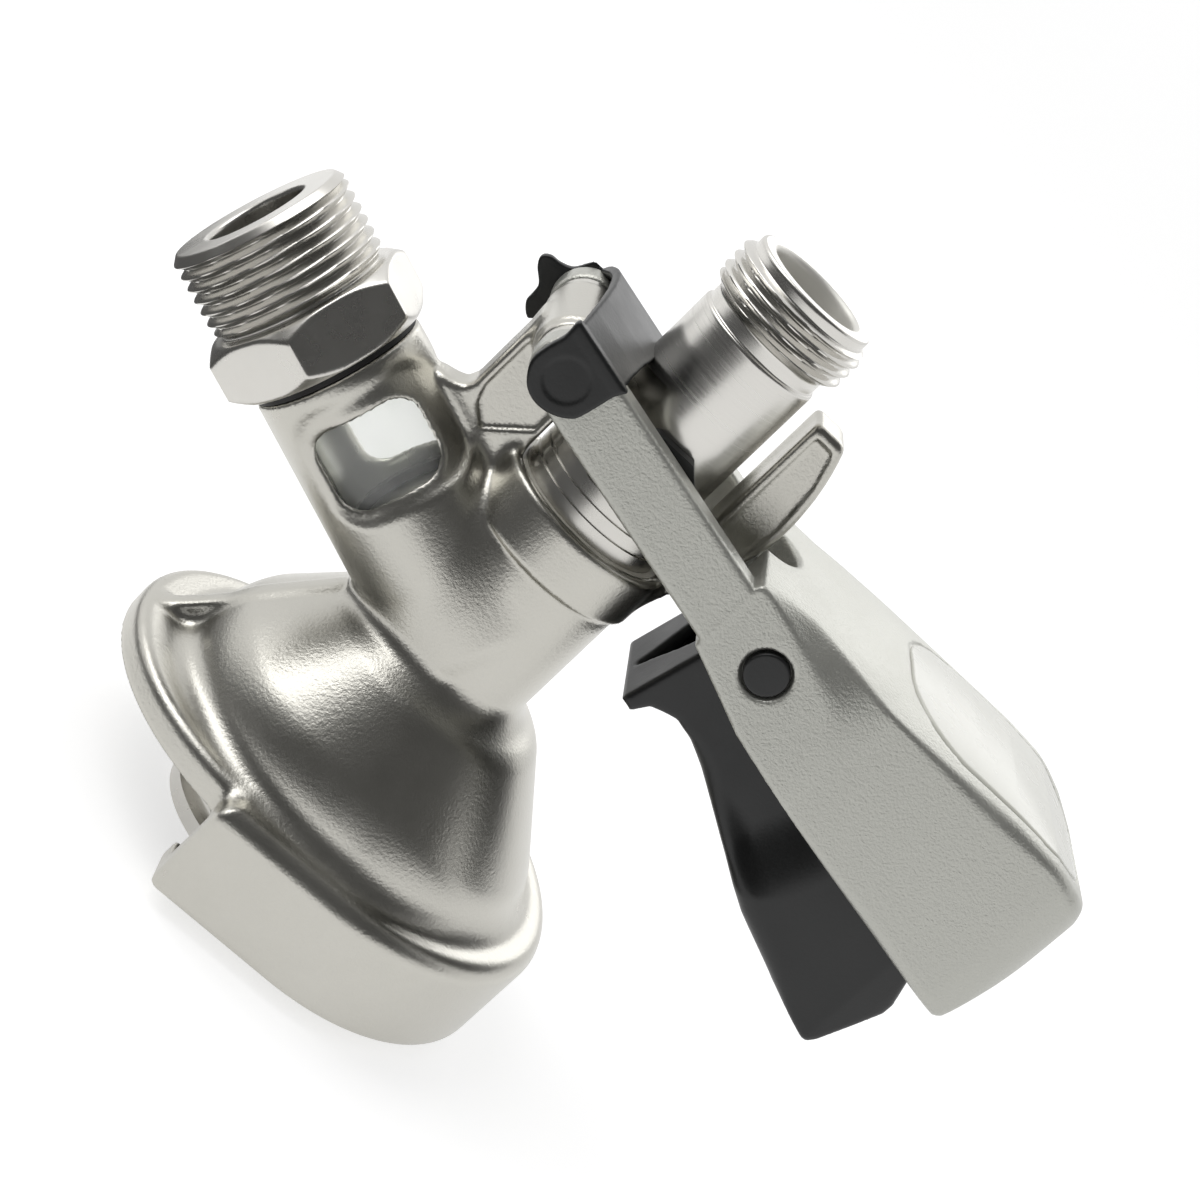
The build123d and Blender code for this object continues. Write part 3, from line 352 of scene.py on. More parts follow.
class COUPLER_PG_colours(bpy.types.PropertyGroup):
    """Pale tones of the finishes that a user would change."""

    steel: FloatVectorProperty(name="Cast Steel", description="Pale tone of the blasted castings",
                               default=linear("#CDCBC4"), size=4, subtype="COLOR")
    bright: FloatVectorProperty(name="Turned Steel", description="Pale tone of the turned fittings",
                                default=linear("#DAD8D3"), size=4, subtype="COLOR")
    coat: FloatVectorProperty(name="Handle Coat", description="Pale tone of the handle's coat",
                              default=linear("#C6C6BF"), size=4, subtype="COLOR")
    nylon: FloatVectorProperty(name="Nylon", description="Pale tone of the black mouldings",
                               default=linear("#1D1E1E"), size=4, subtype="COLOR")
    label: FloatVectorProperty(name="Label", description="Pale tone of the label's film",
                               default=linear("#DDDDD4"), size=4, subtype="COLOR")


def colour(tone):
    """Linear colour of a hex code, or of a name in the scene's colours."""
    if tone.startswith("#"):
        return linear(tone)
    return tuple(getattr(bpy.context.scene.coupler_colours, tone))


def patterned(name, tones, rough, cloud, grain, bump, metallic=0.0):
    """Finish with two close tones and a varying roughness in a cloud, and a fine grain in its surface.

    The cloud and the grain are (size in mm, detail, roughness of the noise), the bump (strength, distance).
    """
    finish, tree, shader = new_finish(name)
    shader.inputs["Metallic"].default_value = metallic
    place = add_node(tree, "ShaderNodeTexCoord")
    noises = []
    for size_mm, detail, roughness in (cloud, grain):
        noises.append(add_node(tree, "ShaderNodeTexNoise",
                               {"Scale": per_metre(size_mm), "Detail": detail, "Roughness": roughness},
                               {"Vector": place.outputs["Object"]}))
    tone = add_node(tree, "ShaderNodeMix", {"data_type": "RGBA"}, {"Factor": noises[0].outputs["Fac"]})
    tone.inputs["A"].default_value = colour(tones[0])
    tone.inputs["B"].default_value = colour(tones[1])
    tree.links.new(tone.outputs["Result"], shader.inputs["Base Color"])
    spread = add_node(tree, "ShaderNodeMapRange",
                      {"From Min": 0.3, "From Max": 0.7, "To Min": rough[0], "To Max": rough[1]},
                      {"Value": noises[0].outputs["Fac"]})
    tree.links.new(spread.outputs["Result"], shader.inputs["Roughness"])
    relief = add_node(tree, "ShaderNodeBump", {"Strength": bump[0], "Distance": bump[1]},
                      {"Height": noises[1].outputs["Fac"]})
    tree.links.new(relief.outputs["Normal"], shader.inputs["Normal"])
    return finish, tree, shader


def bead_blasted_steel():
    """Cast stainless steel, bead blasted: satin and neutral, with dimples that sparkle in the half tones."""
    return patterned("Bead Blasted Cast Steel", ("#BBB9B1", "steel"), (0.27, 0.35), (14.0, 4.0, 0.6),
                     (0.5, 2.0, 0.6), (0.5, 0.0001), metallic=1.0)[0]


def turned_steel():
    """Stainless steel bar, turned: bright, with smudges left by handling."""
    return patterned("Turned Stainless Steel", ("#C9C7C1", "bright"), (0.25, 0.33), (7.0, 3.0, 0.5),
                     (2.0, 1.0, 0.5), (0.1, 0.00002), metallic=1.0)[0]


def polished_tube():
    """Stainless steel tube, turned and lapped: long highlights along it, with faint rings from the tool."""
    finish, tree, shader = new_finish("Lapped Stainless Tube")
    shader.inputs["Metallic"].default_value = 1.0
    shader.inputs["Anisotropic"].default_value = 0.7
    place = add_node(tree, "ShaderNodeTexCoord")
    stretch = add_node(tree, "ShaderNodeMapping", None, {"Vector": place.outputs["Object"]})
    stretch.inputs["Scale"].default_value = (per_metre(30.0), per_metre(30.0), per_metre(0.35))
    rings = add_node(tree, "ShaderNodeTexNoise", {"Scale": 1.0, "Detail": 2.0},
                     {"Vector": stretch.outputs["Vector"]})
    tone = add_node(tree, "ShaderNodeMix", {"data_type": "RGBA"}, {"Factor": rings.outputs["Fac"]})
    tone.inputs["A"].default_value = linear("#CFCDC8")
    tone.inputs["B"].default_value = linear("#DDDBD6")
    tree.links.new(tone.outputs["Result"], shader.inputs["Base Color"])
    rough = add_node(tree, "ShaderNodeMapRange",
                     {"From Min": 0.3, "From Max": 0.7, "To Min": 0.2, "To Max": 0.28},
                     {"Value": rings.outputs["Fac"]})
    tree.links.new(rough.outputs["Result"], shader.inputs["Roughness"])
    turn = add_node(tree, "ShaderNodeTangent", {"direction_type": "RADIAL", "axis": "Z"})
    tree.links.new(turn.outputs["Tangent"], shader.inputs["Tangent"])
    return finish


def satin_bore():
    """Bore of a drawn tube: satin all round, which lets the light from its mouth spread down the wall. Its paler
    tones and its part-matt white mix are painted light, which make the bore brighter than the tube's own steel.
    """
    # painted light: pale tones and a metallic of 0.6 brighten the bore beyond what its satin roughness gives
    return patterned("Satin Tube Bore", ("#D8D6D0", "#ECEBE6"), (0.45, 0.6), (4.0, 3.0, 0.5),
                     (1.0, 1.0, 0.5), (0.1, 0.00003), metallic=0.6)[0]


def handle_coat():
    """Die-cast zinc with a fine-grained silver coat: sandy, with a soft sheen."""
    return patterned("Textured Silver Coat", ("#B5B5AE", "coat"), (0.34, 0.44), (9.0, 3.0, 0.5),
                     (0.42, 2.0, 0.6), (0.85, 0.00014), metallic=0.7)[0]


def black_nylon():
    """Glass-filled nylon, moulded: black and dull, with a spark-eroded grain."""
    return patterned("Black Moulded Nylon", ("#101111", "nylon"), (0.34, 0.46), (11.0, 3.0, 0.5),
                     (0.5, 2.0, 0.5), (0.35, 0.00006))[0]


def sight_glass_finish():
    """Borosilicate tube: clear, with a faint bloom on its wall and waves from drawing."""
    finish, _, shader = patterned("Drawn Borosilicate Glass", ("#FAFCF8", "#FFFFFF"), (0.0, 0.06),
                                  (6.0, 1.0, 0.5), (6.0, 1.0, 0.5), (0.3, 0.0003))
    shader.inputs["IOR"].default_value = 1.33
    shader.inputs["Transmission Weight"].default_value = 0.9
    return finish


def label_finish():
    """Cream film under a clear domed coat: glossy."""
    finish, _, shader = patterned("Domed Cream Film", ("#D6D6CC", "label"), (0.22, 0.3), (5.0, 2.0, 0.5),
                                  (8.0, 1.0, 0.5), (0.1, 0.00005))
    shader.inputs["Coat Weight"].default_value = 0.2
    shader.inputs["Coat Roughness"].default_value = 0.2
    return finish


def rubber_finish():
    """EPDM rubber, moulded: black and dull, which swallows highlights."""
    return patterned("Moulded EPDM Rubber", ("#131313", "#1C1C1B"), (0.55, 0.7), (5.0, 3.0, 0.5),
                     (0.4, 1.0, 0.5), (0.3, 0.00004))[0]


def polymer_finish():
    """Acetal resin, moulded: warm white with a waxy sheen."""
    return patterned("Natural Acetal Resin", ("#D8D4C8", "#E4E1D6"), (0.35, 0.45), (5.0, 3.0, 0.5),
                     (0.8, 1.0, 0.5), (0.3, 0.00004))[0]


FINISHES = {}


def finish_for(slot):
    """The finish of a material slot of the record, made once."""
    makers = {"cast_steel": bead_blasted_steel, "turned_steel": turned_steel, "handle_coat": handle_coat,
              "black_plastic": black_nylon, "glass": sight_glass_finish, "label": label_finish,
              "rubber": rubber_finish, "polymer": polymer_finish, "polished_tube": polished_tube,
              "satin_bore": satin_bore}
    if slot not in FINISHES:
        FINISHES[slot] = makers[slot]()
    return FINISHES[slot]


def dress(piece, slot, body, *nodes):
    """Give a piece the finish of its slot, let it ride on its body, and hide the nodes it stands for."""
    piece.data.materials.clear()
    piece.data.materials.append(finish_for(slot))
    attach(piece, body)
    if nodes:
        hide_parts(*nodes)


def line_bore(piece, radius):
    """Give the faces of a piece that lie within a radius of the main axis the finish of a bore, whose paler tone
    is painted light.
    """
    piece.data.materials.append(finish_for("satin_bore"))
    for face in piece.data.polygons:
        if math.hypot(face.center.x, face.center.y) < radius * MM:
            face.material_index = 1


# ---------------------------------------------------------------- sizes

class COUPLER_PG_sizes(bpy.types.PropertyGroup):
    """Sizes of the coupler that a user would change."""

    cell: FloatProperty(name="Cell", description="Cell of the skinned surfaces", default=0.0005, min=0.0002,
                        unit="LENGTH")
    branch_angle: FloatProperty(name="Branch Angle", description="Gas branch from the probe's axis",
                                default=math.radians(70), subtype="ANGLE")
    branch_cross: FloatProperty(name="Branch Crossing", description="Height where the axes cross", default=0.0475,
                                unit="LENGTH")


def cell_mm():
    return bpy.context.scene.coupler_sizes.cell * 1000 * 1.0


HINGE = (-18.6, 88.0)
SLOPE = math.radians(13.8)


# ---------------------------------------------------------------- casting of the body

STRIP = [(-17.8, 37.4), (-20.5, 34.0), (-23.3, 30.5), (-26.0, 27.0), (-27.7, 24.6), (-30.6, 21.2),
         (-33.1, 18.5), (-35.0, 16.2), (-30.0, 14.5), (-12.0, 20.0), (-12.0, 36.0)]
EAR = [(-12.8, 62.0), (-12.8, 88.0), (-24.4, 88.0), (-24.6, 74.4), (-25.3, 72.8), (-28.5, 71.4),
       (-24.0, 64.0),
       (-16.0, 58.0)]
EAR_PANEL = [(-13.9, 86.0), (-13.9, 74.9), (-19.6, 69.8), (-22.4, 72.2), (-23.3, 74.8), (-23.1, 86.0)]
RIB_PANEL = [(14.2, 70.0), (17.0, 70.0), (19.2, 78.0), (19.9, 88.0), (19.1, 96.0), (17.4, 101.4),
             (14.2, 101.6)]


NOSE_BLUNT = 1.05


SKIRT_HALF = 35.5
SKIRT_TOP = 17.2
BELL_RADIUS = 29.6
NECK_BORE = 12.05
GLASS_SEAT = 10.95
BRANCH_START = 47.5
BRANCH_TILT = math.radians(70)


def base_flat(grid, half_width, end_x):
    """Flat distance of the base's outline: blunt round nose, straight sides, square end."""
    x, y = grid.x, grid.y
    across = np.sqrt((np.maximum(x - 8.4, 0) * NOSE_BLUNT) ** 2 + y ** 2) - half_width
    return across, end_x - x


def casting_field(grid):
    """Distance field of the body: base, bell, neck, gas branch, ear, boss and rib, less their hollows."""
    x, y, z = grid.x, grid.y, grid.z
    side, end = base_flat(grid, SKIRT_HALF, -12.8)
    skirt = trim(side, end, 1.4)
    skirt = trim(skirt, z - SKIRT_TOP, 3.0)
    skirt = trim(skirt, -z, 1.2)
    disc = np.sqrt((x + 6.0) ** 2 + y ** 2) - 31.0
    disc = trim(trim(disc, z - SKIRT_TOP, 1.8), 12.0 - z, 0.6)
    base = fuse(skirt, disc, 1.2)
    r_bell = np.sqrt((x - 1.7) ** 2 + y ** 2)
    wall = np.sqrt(np.maximum(x - 6.2, 0) ** 2 + np.minimum(x - 1.7, 0) ** 2 + y ** 2) - BELL_RADIUS
    wall = trim(trim(wall, z - 40, 0.5), 12.5 - z, 0.0)
    slope = math.atan2(BELL_RADIUS - 12.0, 46.0 - 24.5)
    cone = (r_bell - BELL_RADIUS) * math.cos(slope) + (z - 24.5) * math.sin(slope)
    bell = trim(trim(wall, cone, 3.0), z - 50.0, 0.5)
    body = fuse(base, bell, 3.8)
    ridge = prism(outline(STRIP, x, z), y, 1.8, 0.9)
    body = fuse(body, ridge, 1.6)
    r_axis = np.sqrt(x ** 2 + y ** 2)
    neck = trim(trim(r_axis - 13.7, z - 71.0, 0.8), 20 - z, 0.5)
    body = fuse(body, neck, 4.0)
    out = -math.sin(BRANCH_TILT) * x + math.cos(BRANCH_TILT) * (z - BRANCH_START)
    up = math.cos(BRANCH_TILT) * x + math.sin(BRANCH_TILT) * (z - BRANCH_START)
    r_branch = np.sqrt(up ** 2 + y ** 2)
    branch = trim(trim(r_branch - (13.4 - 0.8 * out / 42.6), out - 42.6, 0.6), -out, 0.5)
    body = fuse(body, branch, 3.2)
    collar = trim(trim(r_axis - 14.7, z - 71.0, 0.9), 62.7 - z, 0.5)
    body = fuse(body, collar, 0.5)
    ear = prism(outline(EAR, x, z), y, 3.0, 0.9)
    ear = carve(ear, trim(outline(EAR_PANEL, x, z), 2.3 - np.abs(y), 0.2), 0.4)
    body = fuse(body, ear, 1.8)
    r_hinge = np.sqrt((x - HINGE[0]) ** 2 + (z - HINGE[1]) ** 2)
    boss = trim(r_hinge - 5.5, np.abs(y) - 8.6, 0.4)
    body = fuse(body, boss, 1.2)
    body = fuse(body, trim(r_hinge - 5.1, np.abs(y) - 10.4, 0.4), 0.1)
    arc = np.sqrt((x - HINGE[0]) ** 2 + (z - HINGE[1]) ** 2) - 39.8
    rib = trim(arc, 12.8 - x, 1.2)
    rib = trim(rib, z - 103.4, 1.0)
    root = (x - 12.9) * 0.90 - (z - 57.0) * 0.435
    rib = trim(rib, root, 6.0)
    rib = trim(rib, np.abs(y) - 4.0, 1.0)
    rib = carve(rib, trim(outline(RIB_PANEL, x, z), 3.4 - np.abs(y), 0.2), 0.3)
    body = fuse(body, rib, 1.6)
    # hollows
    slot_side, _ = base_flat(grid, 31.5, 0)
    slot = trim(trim(slot_side, 4.0 - z, 0.4), z - 12.0, 0.4)
    way_side, _ = base_flat(grid, 27.5, 0)
    body = carve(body, slot, 0.5)
    body = carve(body, trim(way_side, z - 5.0, 0.2), 0.6)
    body = carve(body, trim(r_axis - 18.0, z - 23.5, 0.4), 0.4)
    inner = (r_axis - 19.2) + (z - 23.5) * (19.2 - NECK_BORE) / (42.6 - 23.5)
    body = carve(body, trim(trim(inner * 0.93, 23.0 - z, 0.2), z - 44.0, 0.2), 0.3)
    body = carve(body, trim(r_axis - NECK_BORE, 40 - z, 0.2), 0.3)
    body = carve(body, trim(r_axis - 13.0, 66.4 - z, 0.1), 0.3)
    body = carve(body, trim(r_branch - GLASS_SEAT, 20.5 - out, 0.2), 0.4)
    for sign in (1, -1):
        lean = math.radians(8.0)
        face = sign * y * math.cos(lean) + up * math.sin(lean)
        across = up * math.cos(lean) - sign * y * math.sin(lean)
        shelf = trim(trim(np.abs(out - 31.2) - 8.6, np.abs(across - 1.6) - 10.2, 4.4), 12.3 - r_branch, 1.0)
        body = carve(body, trim(shelf, 2.0 - face, 0.1), 1.2)
        opening = trim(np.abs(out - 30.4) - 5.6, np.abs(across - 0.2) - 7.2, 3.0)
        body = carve(body, trim(opening, 2.0 - face, 0.1), 1.7)
    return body


class COUPLER_OT_casting(bpy.types.Operator):
    """Skin the cast body from its distance field"""

    bl_idname = "coupler.casting"
    bl_label = "Cast Body"

    def execute(self, context):
        grid = Grid((-48, -38, -2), (47, 38, 106), cell_mm())
        piece = skinned("cast_body", casting_field(grid), grid)
        dress(piece, "cast_steel", "body", "coupler_body")
        return {"FINISHED"}


# ---------------------------------------------------------------- handle

GRIP_SIDE = [(38.6, -2.0), (44.0, -1.7), (56.0, -1.25), (65.6, -1.1), (80.6, -1.0), (88.6, -1.6),
             (97.6, -3.2),
             (103.6, -5.3), (107.4, -7.2), (109.6, -9.4), (110.7, -12.0), (110.9, -14.4), (110.2, -18.4),
             (108.2, -24.4), (105.4, -31.4), (104.6, -32.9), (103.2, -33.4), (100.2, -32.6), (76.0, -26.9),
             (51.8, -21.1), (38.6, -15.8)]
GRIP_PLAN = [(30.0, 17.5), (39.6, 17.5), (48.6, 18.1), (56.6, 19.2), (64.6, 19.9), (82.6, 20.1), (97.6, 19.5),
             (102.6, 18.4), (105.8, 16.4), (108.6, 12.4), (110.4, 6.4), (110.9, 0.0)]
CORE_SIDE = [(48.6, -48.0), (48.6, -7.6), (56.6, -5.8), (66.6, -4.8), (80.6, -4.5), (89.9, -5.2),
             (97.6, -6.6),
             (103.2, -8.8), (105.8, -12.4), (105.2, -18.0), (103.4, -26.0), (100.0, -34.0), (96.6, -48.0)]
CORE_PLAN = [(38.6, 12.6), (52.6, 12.6), (64.6, 17.0), (82.6, 17.2), (98.6, 16.6), (103.2, 13.6),
             (105.6, 8.0),
             (106.4, 0.0)]
CREASE = [(30.0, 0.0), (35.6, -1.6), (48.4, -5.2), (59.6, -8.7), (72.0, -12.8), (112.0, -26.0)]
RIDGE = [(30.0, -1.6), (38.5, -1.9), (47.9, -2.8), (56.4, -3.6), (70.0, -3.7), (104.8, -6.5), (112.0, -10.0)]
RIDGE_HALF = [(30.0, 15.4), (48.6, 15.5), (64.6, 19.9), (112.0, 19.9)]
LABEL_MID = 86.9
ARM_END = 5.2
ARM_MIDDLE = 15.05
ARM_HALF = 2.45
PIN_HOLE = 2.05
HINGE_HOLE = 2.65
LATCH = (48.6, -11.8)


def both_sides(half):
    """Closed outline from half of it, mirrored across the middle."""
    return half + [(x, -y) for x, y in reversed(half) if y > 0]


def follow(points, at):
    """Height of an open line at the given places along it."""
    xs, ys = zip(*points)
    return np.interp(at, xs, ys).astype(np.float32)


def from_hinge(grid):
    """Grid coordinates measured from the hinge: forwards, sideways and up."""
    return grid.x - HINGE[0], grid.y, grid.z - HINGE[1]


def along_arm(hx, hz):
    """The same turned into the arm's frame: along it, and square above it."""
    return hx * math.cos(SLOPE) - hz * math.sin(SLOPE), hx * math.sin(SLOPE) + hz * math.cos(SLOPE)


def grip_skin(grid):
    """Distance to the crown, nose and underside of the grip, without its sides."""
    hx, y, hz = from_hinge(grid)
    drop = 84.0 - np.sqrt(84.0 ** 2 - np.minimum(np.abs(y), 40.0) ** 2)
    crown = hz + drop - follow([(30, -1.0), (80.6, -1.0), (120.0, -1.0)], hx)
    return trim(outline(GRIP_SIDE, hx, hz), crown, 1.5)


def label_plan(grid, inset):
    """Distance to the label's rounded outline seen from above."""
    hx, y, _ = from_hinge(grid)
    along = np.abs(hx - LABEL_MID) - 19.8 + inset
    across = np.abs(y) - 16.2 + inset
    return trim(along, across, 12.0)


def handle_field(grid):
    """Distance field of the handle: two arms, web and hollow grip with its facets."""
    hx, y, hz = from_hinge(grid)
    skin = grip_skin(grid)
    plan = outline(curve_points(both_sides(GRIP_PLAN), 5), hx, y)
    half = follow(GRIP_PLAN, hx)
    rise = follow(RIDGE, hx) - follow(CREASE, hx)
    lean = (half - follow(RIDGE_HALF, hx)) / rise
    facet = np.abs(y) - half + lean * (hz - follow(CREASE, hx)) - 3.0 * ease(hx, 62.5, 82)
    facet = facet / np.sqrt(1 + lean ** 2)
    grip = trim(skin, facet, 0.5 + 1.2 * ease(hx, 70, 96))
    grip = trim(grip, plan, 0.4 + 1.4 * ease(hx, 62, 90))
    grip = trim(grip, 38.6 - hx, 0.5)
    u, v = along_arm(hx, hz)
    arm = np.sqrt(np.minimum(u, 0) ** 2 + v ** 2) - ARM_END
    arm = trim(arm, u - 58.0, 0.3)
    arm = trim(arm, np.abs(np.abs(y) - ARM_MIDDLE) - ARM_HALF, 0.8)
    shell = np.minimum(grip, arm)
    core = trim(outline(CORE_SIDE, hx, hz), outline(both_sides(CORE_PLAN), hx, y), 1.2)
    shell = carve(shell, core, 0.7)
    web = trim(trim(hz + 7.2, np.abs(y) - 12.6, 1.6), hx - 50.0, 0.2)
    shell = carve(shell, web, 0.6)
    notch = np.sqrt(np.maximum(hx - 39.8, 0) ** 2 + y ** 2) - 5.2
    shell = carve(shell, trim(notch, hx - 46.0, 0.1), 0.9)
    slot = np.sqrt((np.abs(u - 20.2) - 1.8).clip(0) ** 2 + v ** 2) - 3.35
    shell = carve(shell, trim(slot, np.abs(y) - 15.5, 0.2), 0.4)
    shell = carve(shell, np.sqrt(hx ** 2 + hz ** 2) - HINGE_HOLE, 0.2)
    pin = np.sqrt((hx - LATCH[0]) ** 2 + (hz - LATCH[1]) ** 2)
    shell = carve(shell, pin - PIN_HOLE, 0.2)
    shell = carve(shell, trim(pin - 3.7, 16.6 - np.abs(y), 0.1), 0.35)
    recess = trim(label_plan(grid, 0.0), -0.6 - skin, 0.1)
    return carve(shell, recess, 0.3)


def label_field(grid):
    """Distance field of the label: a slice of the crown, a little inside its recess."""
    skin = grip_skin(grid)
    return trim(trim(label_plan(grid, 0.35), skin + 0.02, 0.35), -1.6 - skin, 0.05)


class COUPLER_OT_handle(bpy.types.Operator):
    """Skin the handle and its label, and turn the plugs of the latch pin"""

    bl_idname = "coupler.handle"
    bl_label = "Handle"

    def execute(self, context):
        grid = Grid((-25, -21.5, 53), (94, 21.5, 94), cell_mm() * 0.9)
        dress(skinned("handle_casting", handle_field(grid), grid), "handle_coat", "handle", "handle_shell")
        grid = Grid((47, -17.5, 72), (90, 17.5, 88.5), cell_mm() * 0.55)
        dress(skinned("grip_label", label_field(grid), grid), "label", "handle", "label_plate")
        plug = [(0, 18.25), (2.4, 18.25), (3.3, 18.25, 0.5), (3.3, 16.7), (0, 16.7)]
        for number, side in enumerate((-1, 1)):
            turn = Matrix.Rotation(side * math.radians(-90), 4, "X")
            place = Matrix.Translation((HINGE[0] + LATCH[0], 0, HINGE[1] + LATCH[1])) @ turn
            piece = lathed(f"pin_plug_{number}", plug, place, 48)
            dress(piece, "black_plastic", "handle", "pin_plugs")
        return {"FINISHED"}


# ---------------------------------------------------------------- clip and lever

NEAR_CAP = [(-4.9, 7.0), (-4.9, 3.0), (-4.97, 0.53), (-4.62, -2.16), (-3.12, -4.06), (-1.21, -5.14),
            (1.07, -5.19),
            (3.21, -4.26), (4.79, -2.74), (5.43, -1.14), (5.42, 3.91), (5.3, 7.0)]
ARCH_OUT = [(-19.0, 5.6), (-15.0, 6.4), (-12.0, 7.0), (-6.0, 7.9), (0.0, 8.5), (4.0, 8.6), (8.0, 8.4),
            (12.0, 7.6),
            (15.0, 6.6), (17.5, 5.2), (19.0, 3.8)]
ARCH_IN = [(-19.0, 4.2), (-17.5, 4.7), (-12.0, 5.6), (-6.0, 6.4), (0.0, 7.0), (4.0, 7.1), (8.0, 6.9),
           (12.0, 6.0),
           (15.0, 4.9), (17.5, 3.4), (19.0, 2.0)]
CLIP_BACK = [(-19.0, -4.9), (-12.0, -4.4), (-6.0, -3.9), (0.0, -3.5), (6.0, -3.2), (12.0, -3.0), (19.0, -2.8)]
CLIP_FRONT = [(-19.0, 5.3), (-14.0, 5.7), (-8.0, 6.5), (-2.0, 7.8), (4.0, 9.0), (9.0, 9.7), (13.0, 9.9),
              (16.0, 9.7),
              (19.0, 9.0)]
FAR_LOBES = [(-3.6, 6.6), (-4.2, 4.4), (-4.5, 2.9), (-5.0, 1.0), (-6.6, -0.2), (-8.2, -0.8), (-8.9, -2.0),
             (-7.9, -3.3), (-5.6, -4.6), (-4.9, -6.2), (-4.4, -7.6), (-2.4, -8.7), (-1.4, -7.6), (0.6, -7.2),
             (2.6, -7.8), (3.8, -8.2), (6.2, -6.6), (8.2, -3.8), (9.0, -0.6), (9.2, 3.0), (9.2, 9.6),
             (-2.8, 9.6)]


def clip_field(grid):
    """Distance field of the clip: arched strap, plain near plate and scalloped far plate."""
    hx, y, hz = from_hinge(grid)
    u, v = along_arm(hx, hz)
    near = trim(outline(curve_points(NEAR_CAP, 4), u, v), v - 5.95, 0.25)
    near = trim(trim(near, -19.0 - y, 0.35), y + 17.5, 0.15)
    disc = np.sqrt((u - 0.25) ** 2 + v ** 2) - 3.2
    near = carve(near, trim(disc, y + 18.82, 0.05), 0.12)
    far = outline(curve_points(FAR_LOBES, 4), u, v)
    far = trim(trim(far, y - 19.0, 0.45), 17.5 - y, 0.15)
    hull = trim(v - follow(ARCH_OUT, y), y - 19.0, 3.4)
    strap = trim(hull, follow(ARCH_IN, y) - v, 0.3)
    strap = trim(strap, follow(CLIP_BACK, y) - u, 0.35)
    strap = trim(strap, u - follow(CLIP_FRONT, y), 0.35)
    strap = trim(strap, -19.0 - y, 0.2)
    far = np.maximum(far, hull)
    return fuse(fuse(strap, near, 0.15), far, 0.3)


LEVER_SIDE = [(43.0, -29.5), (45.0, -28.8), (47.0, -28.3), (50.6, -29.4), (55.2, -31.9), (64.6, -37.4),
              (73.8, -42.6), (84.6, -47.2), (93.6, -50.4), (94.8, -50.4), (95.8, -49.2), (99.9, -39.6),
              (99.9, -37.6), (97.6, -31.0), (92.0, -29.2), (74.6, -22.6), (58.6, -17.6), (57.0, -15.0),
              (55.0, -10.6), (51.2, -8.4), (46.2, -8.4), (44.2, -13.4), (42.2, -18.6), (40.6, -25.4),
              (39.2, -31.4), (41.4, -32.0)]
LEVER_FOOT = [(36.0, -32.0), (43.0, -29.5), (47.0, -28.3), (55.2, -31.9), (73.8, -42.6), (94.6, -50.8),
              (104.0, -54.0)]
LEVER_PLAN = [(30.0, 10.4), (50.6, 10.4), (54.6, 11.4), (58.0, 12.8), (66.0, 14.6), (76.0, 15.2),
              (94.0, 15.2),
              (98.0, 14.4), (104.0, 12.6)]
CHEEK = [(30.0, -26.0), (51.6, -30.6), (66.2, -33.3), (68.6, -26.5), (72.0, -14.0), (72.0, -2.0),
         (30.0, -2.0)]
LEVER_CORE = [(43.2, -25.6), (50.6, -25.8), (56.6, -29.4), (74.8, -40.4), (92.4, -46.0), (96.8, -37.6),
              (96.0, 2.0), (43.2, 2.0)]


def lever_field(grid):
    """Distance field of the lever: hollow, with flat cheeks, flared sides and a slot in its front."""
    hx, y, hz = from_hinge(grid)
    above = hz - follow(LEVER_FOOT, hx)
    soft = 2.8 - 2.2 * ease(above, 4.0, 9.0)
    soft = 0.8 + (soft - 0.8) * ease(hx, 46.0, 56.0) * (1 - ease(hx, 82.0, 92.0))
    flare = 4.8 * ease(outline(CHEEK, hx, hz), -1.0, 10.0) * ease(hx, 48.0, 60.0)
    half = np.minimum(10.4 + flare, follow(LEVER_PLAN, hx))
    side = (np.abs(y) - half) * 0.92
    lever = trim(outline(LEVER_SIDE, hx, hz), side, soft)
    core = trim(outline(LEVER_CORE, hx, hz), np.abs(y) - half + 2.2, 1.2)
    lever = carve(lever, core, 0.5)
    opening = 0.4 + 3.4 * ease(hz, -30.4, -19.0)
    slot = trim(trim(np.abs(y) - opening, -29.6 - hz, 0.4), hx - 47.2, 0.2)
    lever = carve(lever, slot, 0.5)
    reach = np.sqrt((hx - 74.6) ** 2 + y ** 2)
    post = trim(trim(reach - 4.6, hz + 26.4, 0.5), -42.0 - hz, 0.2)
    lever = fuse(lever, post, 0.8)
    lever = fuse(lever, trim(trim(reach - 2.4, hz + 24.8, 0.5), -27.0 - hz, 0.2), 0.2)
    pin = np.sqrt((hx - LATCH[0]) ** 2 + (hz - LATCH[1]) ** 2)
    return carve(lever, pin - 2.1, 0.2)


SPRING = {"x": 74.6, "radius": 3.4, "wire": 0.5, "low": -26.4, "top": -4.85, "turns": 7.5, "closed": 1.0,
          "travel": 1.9}


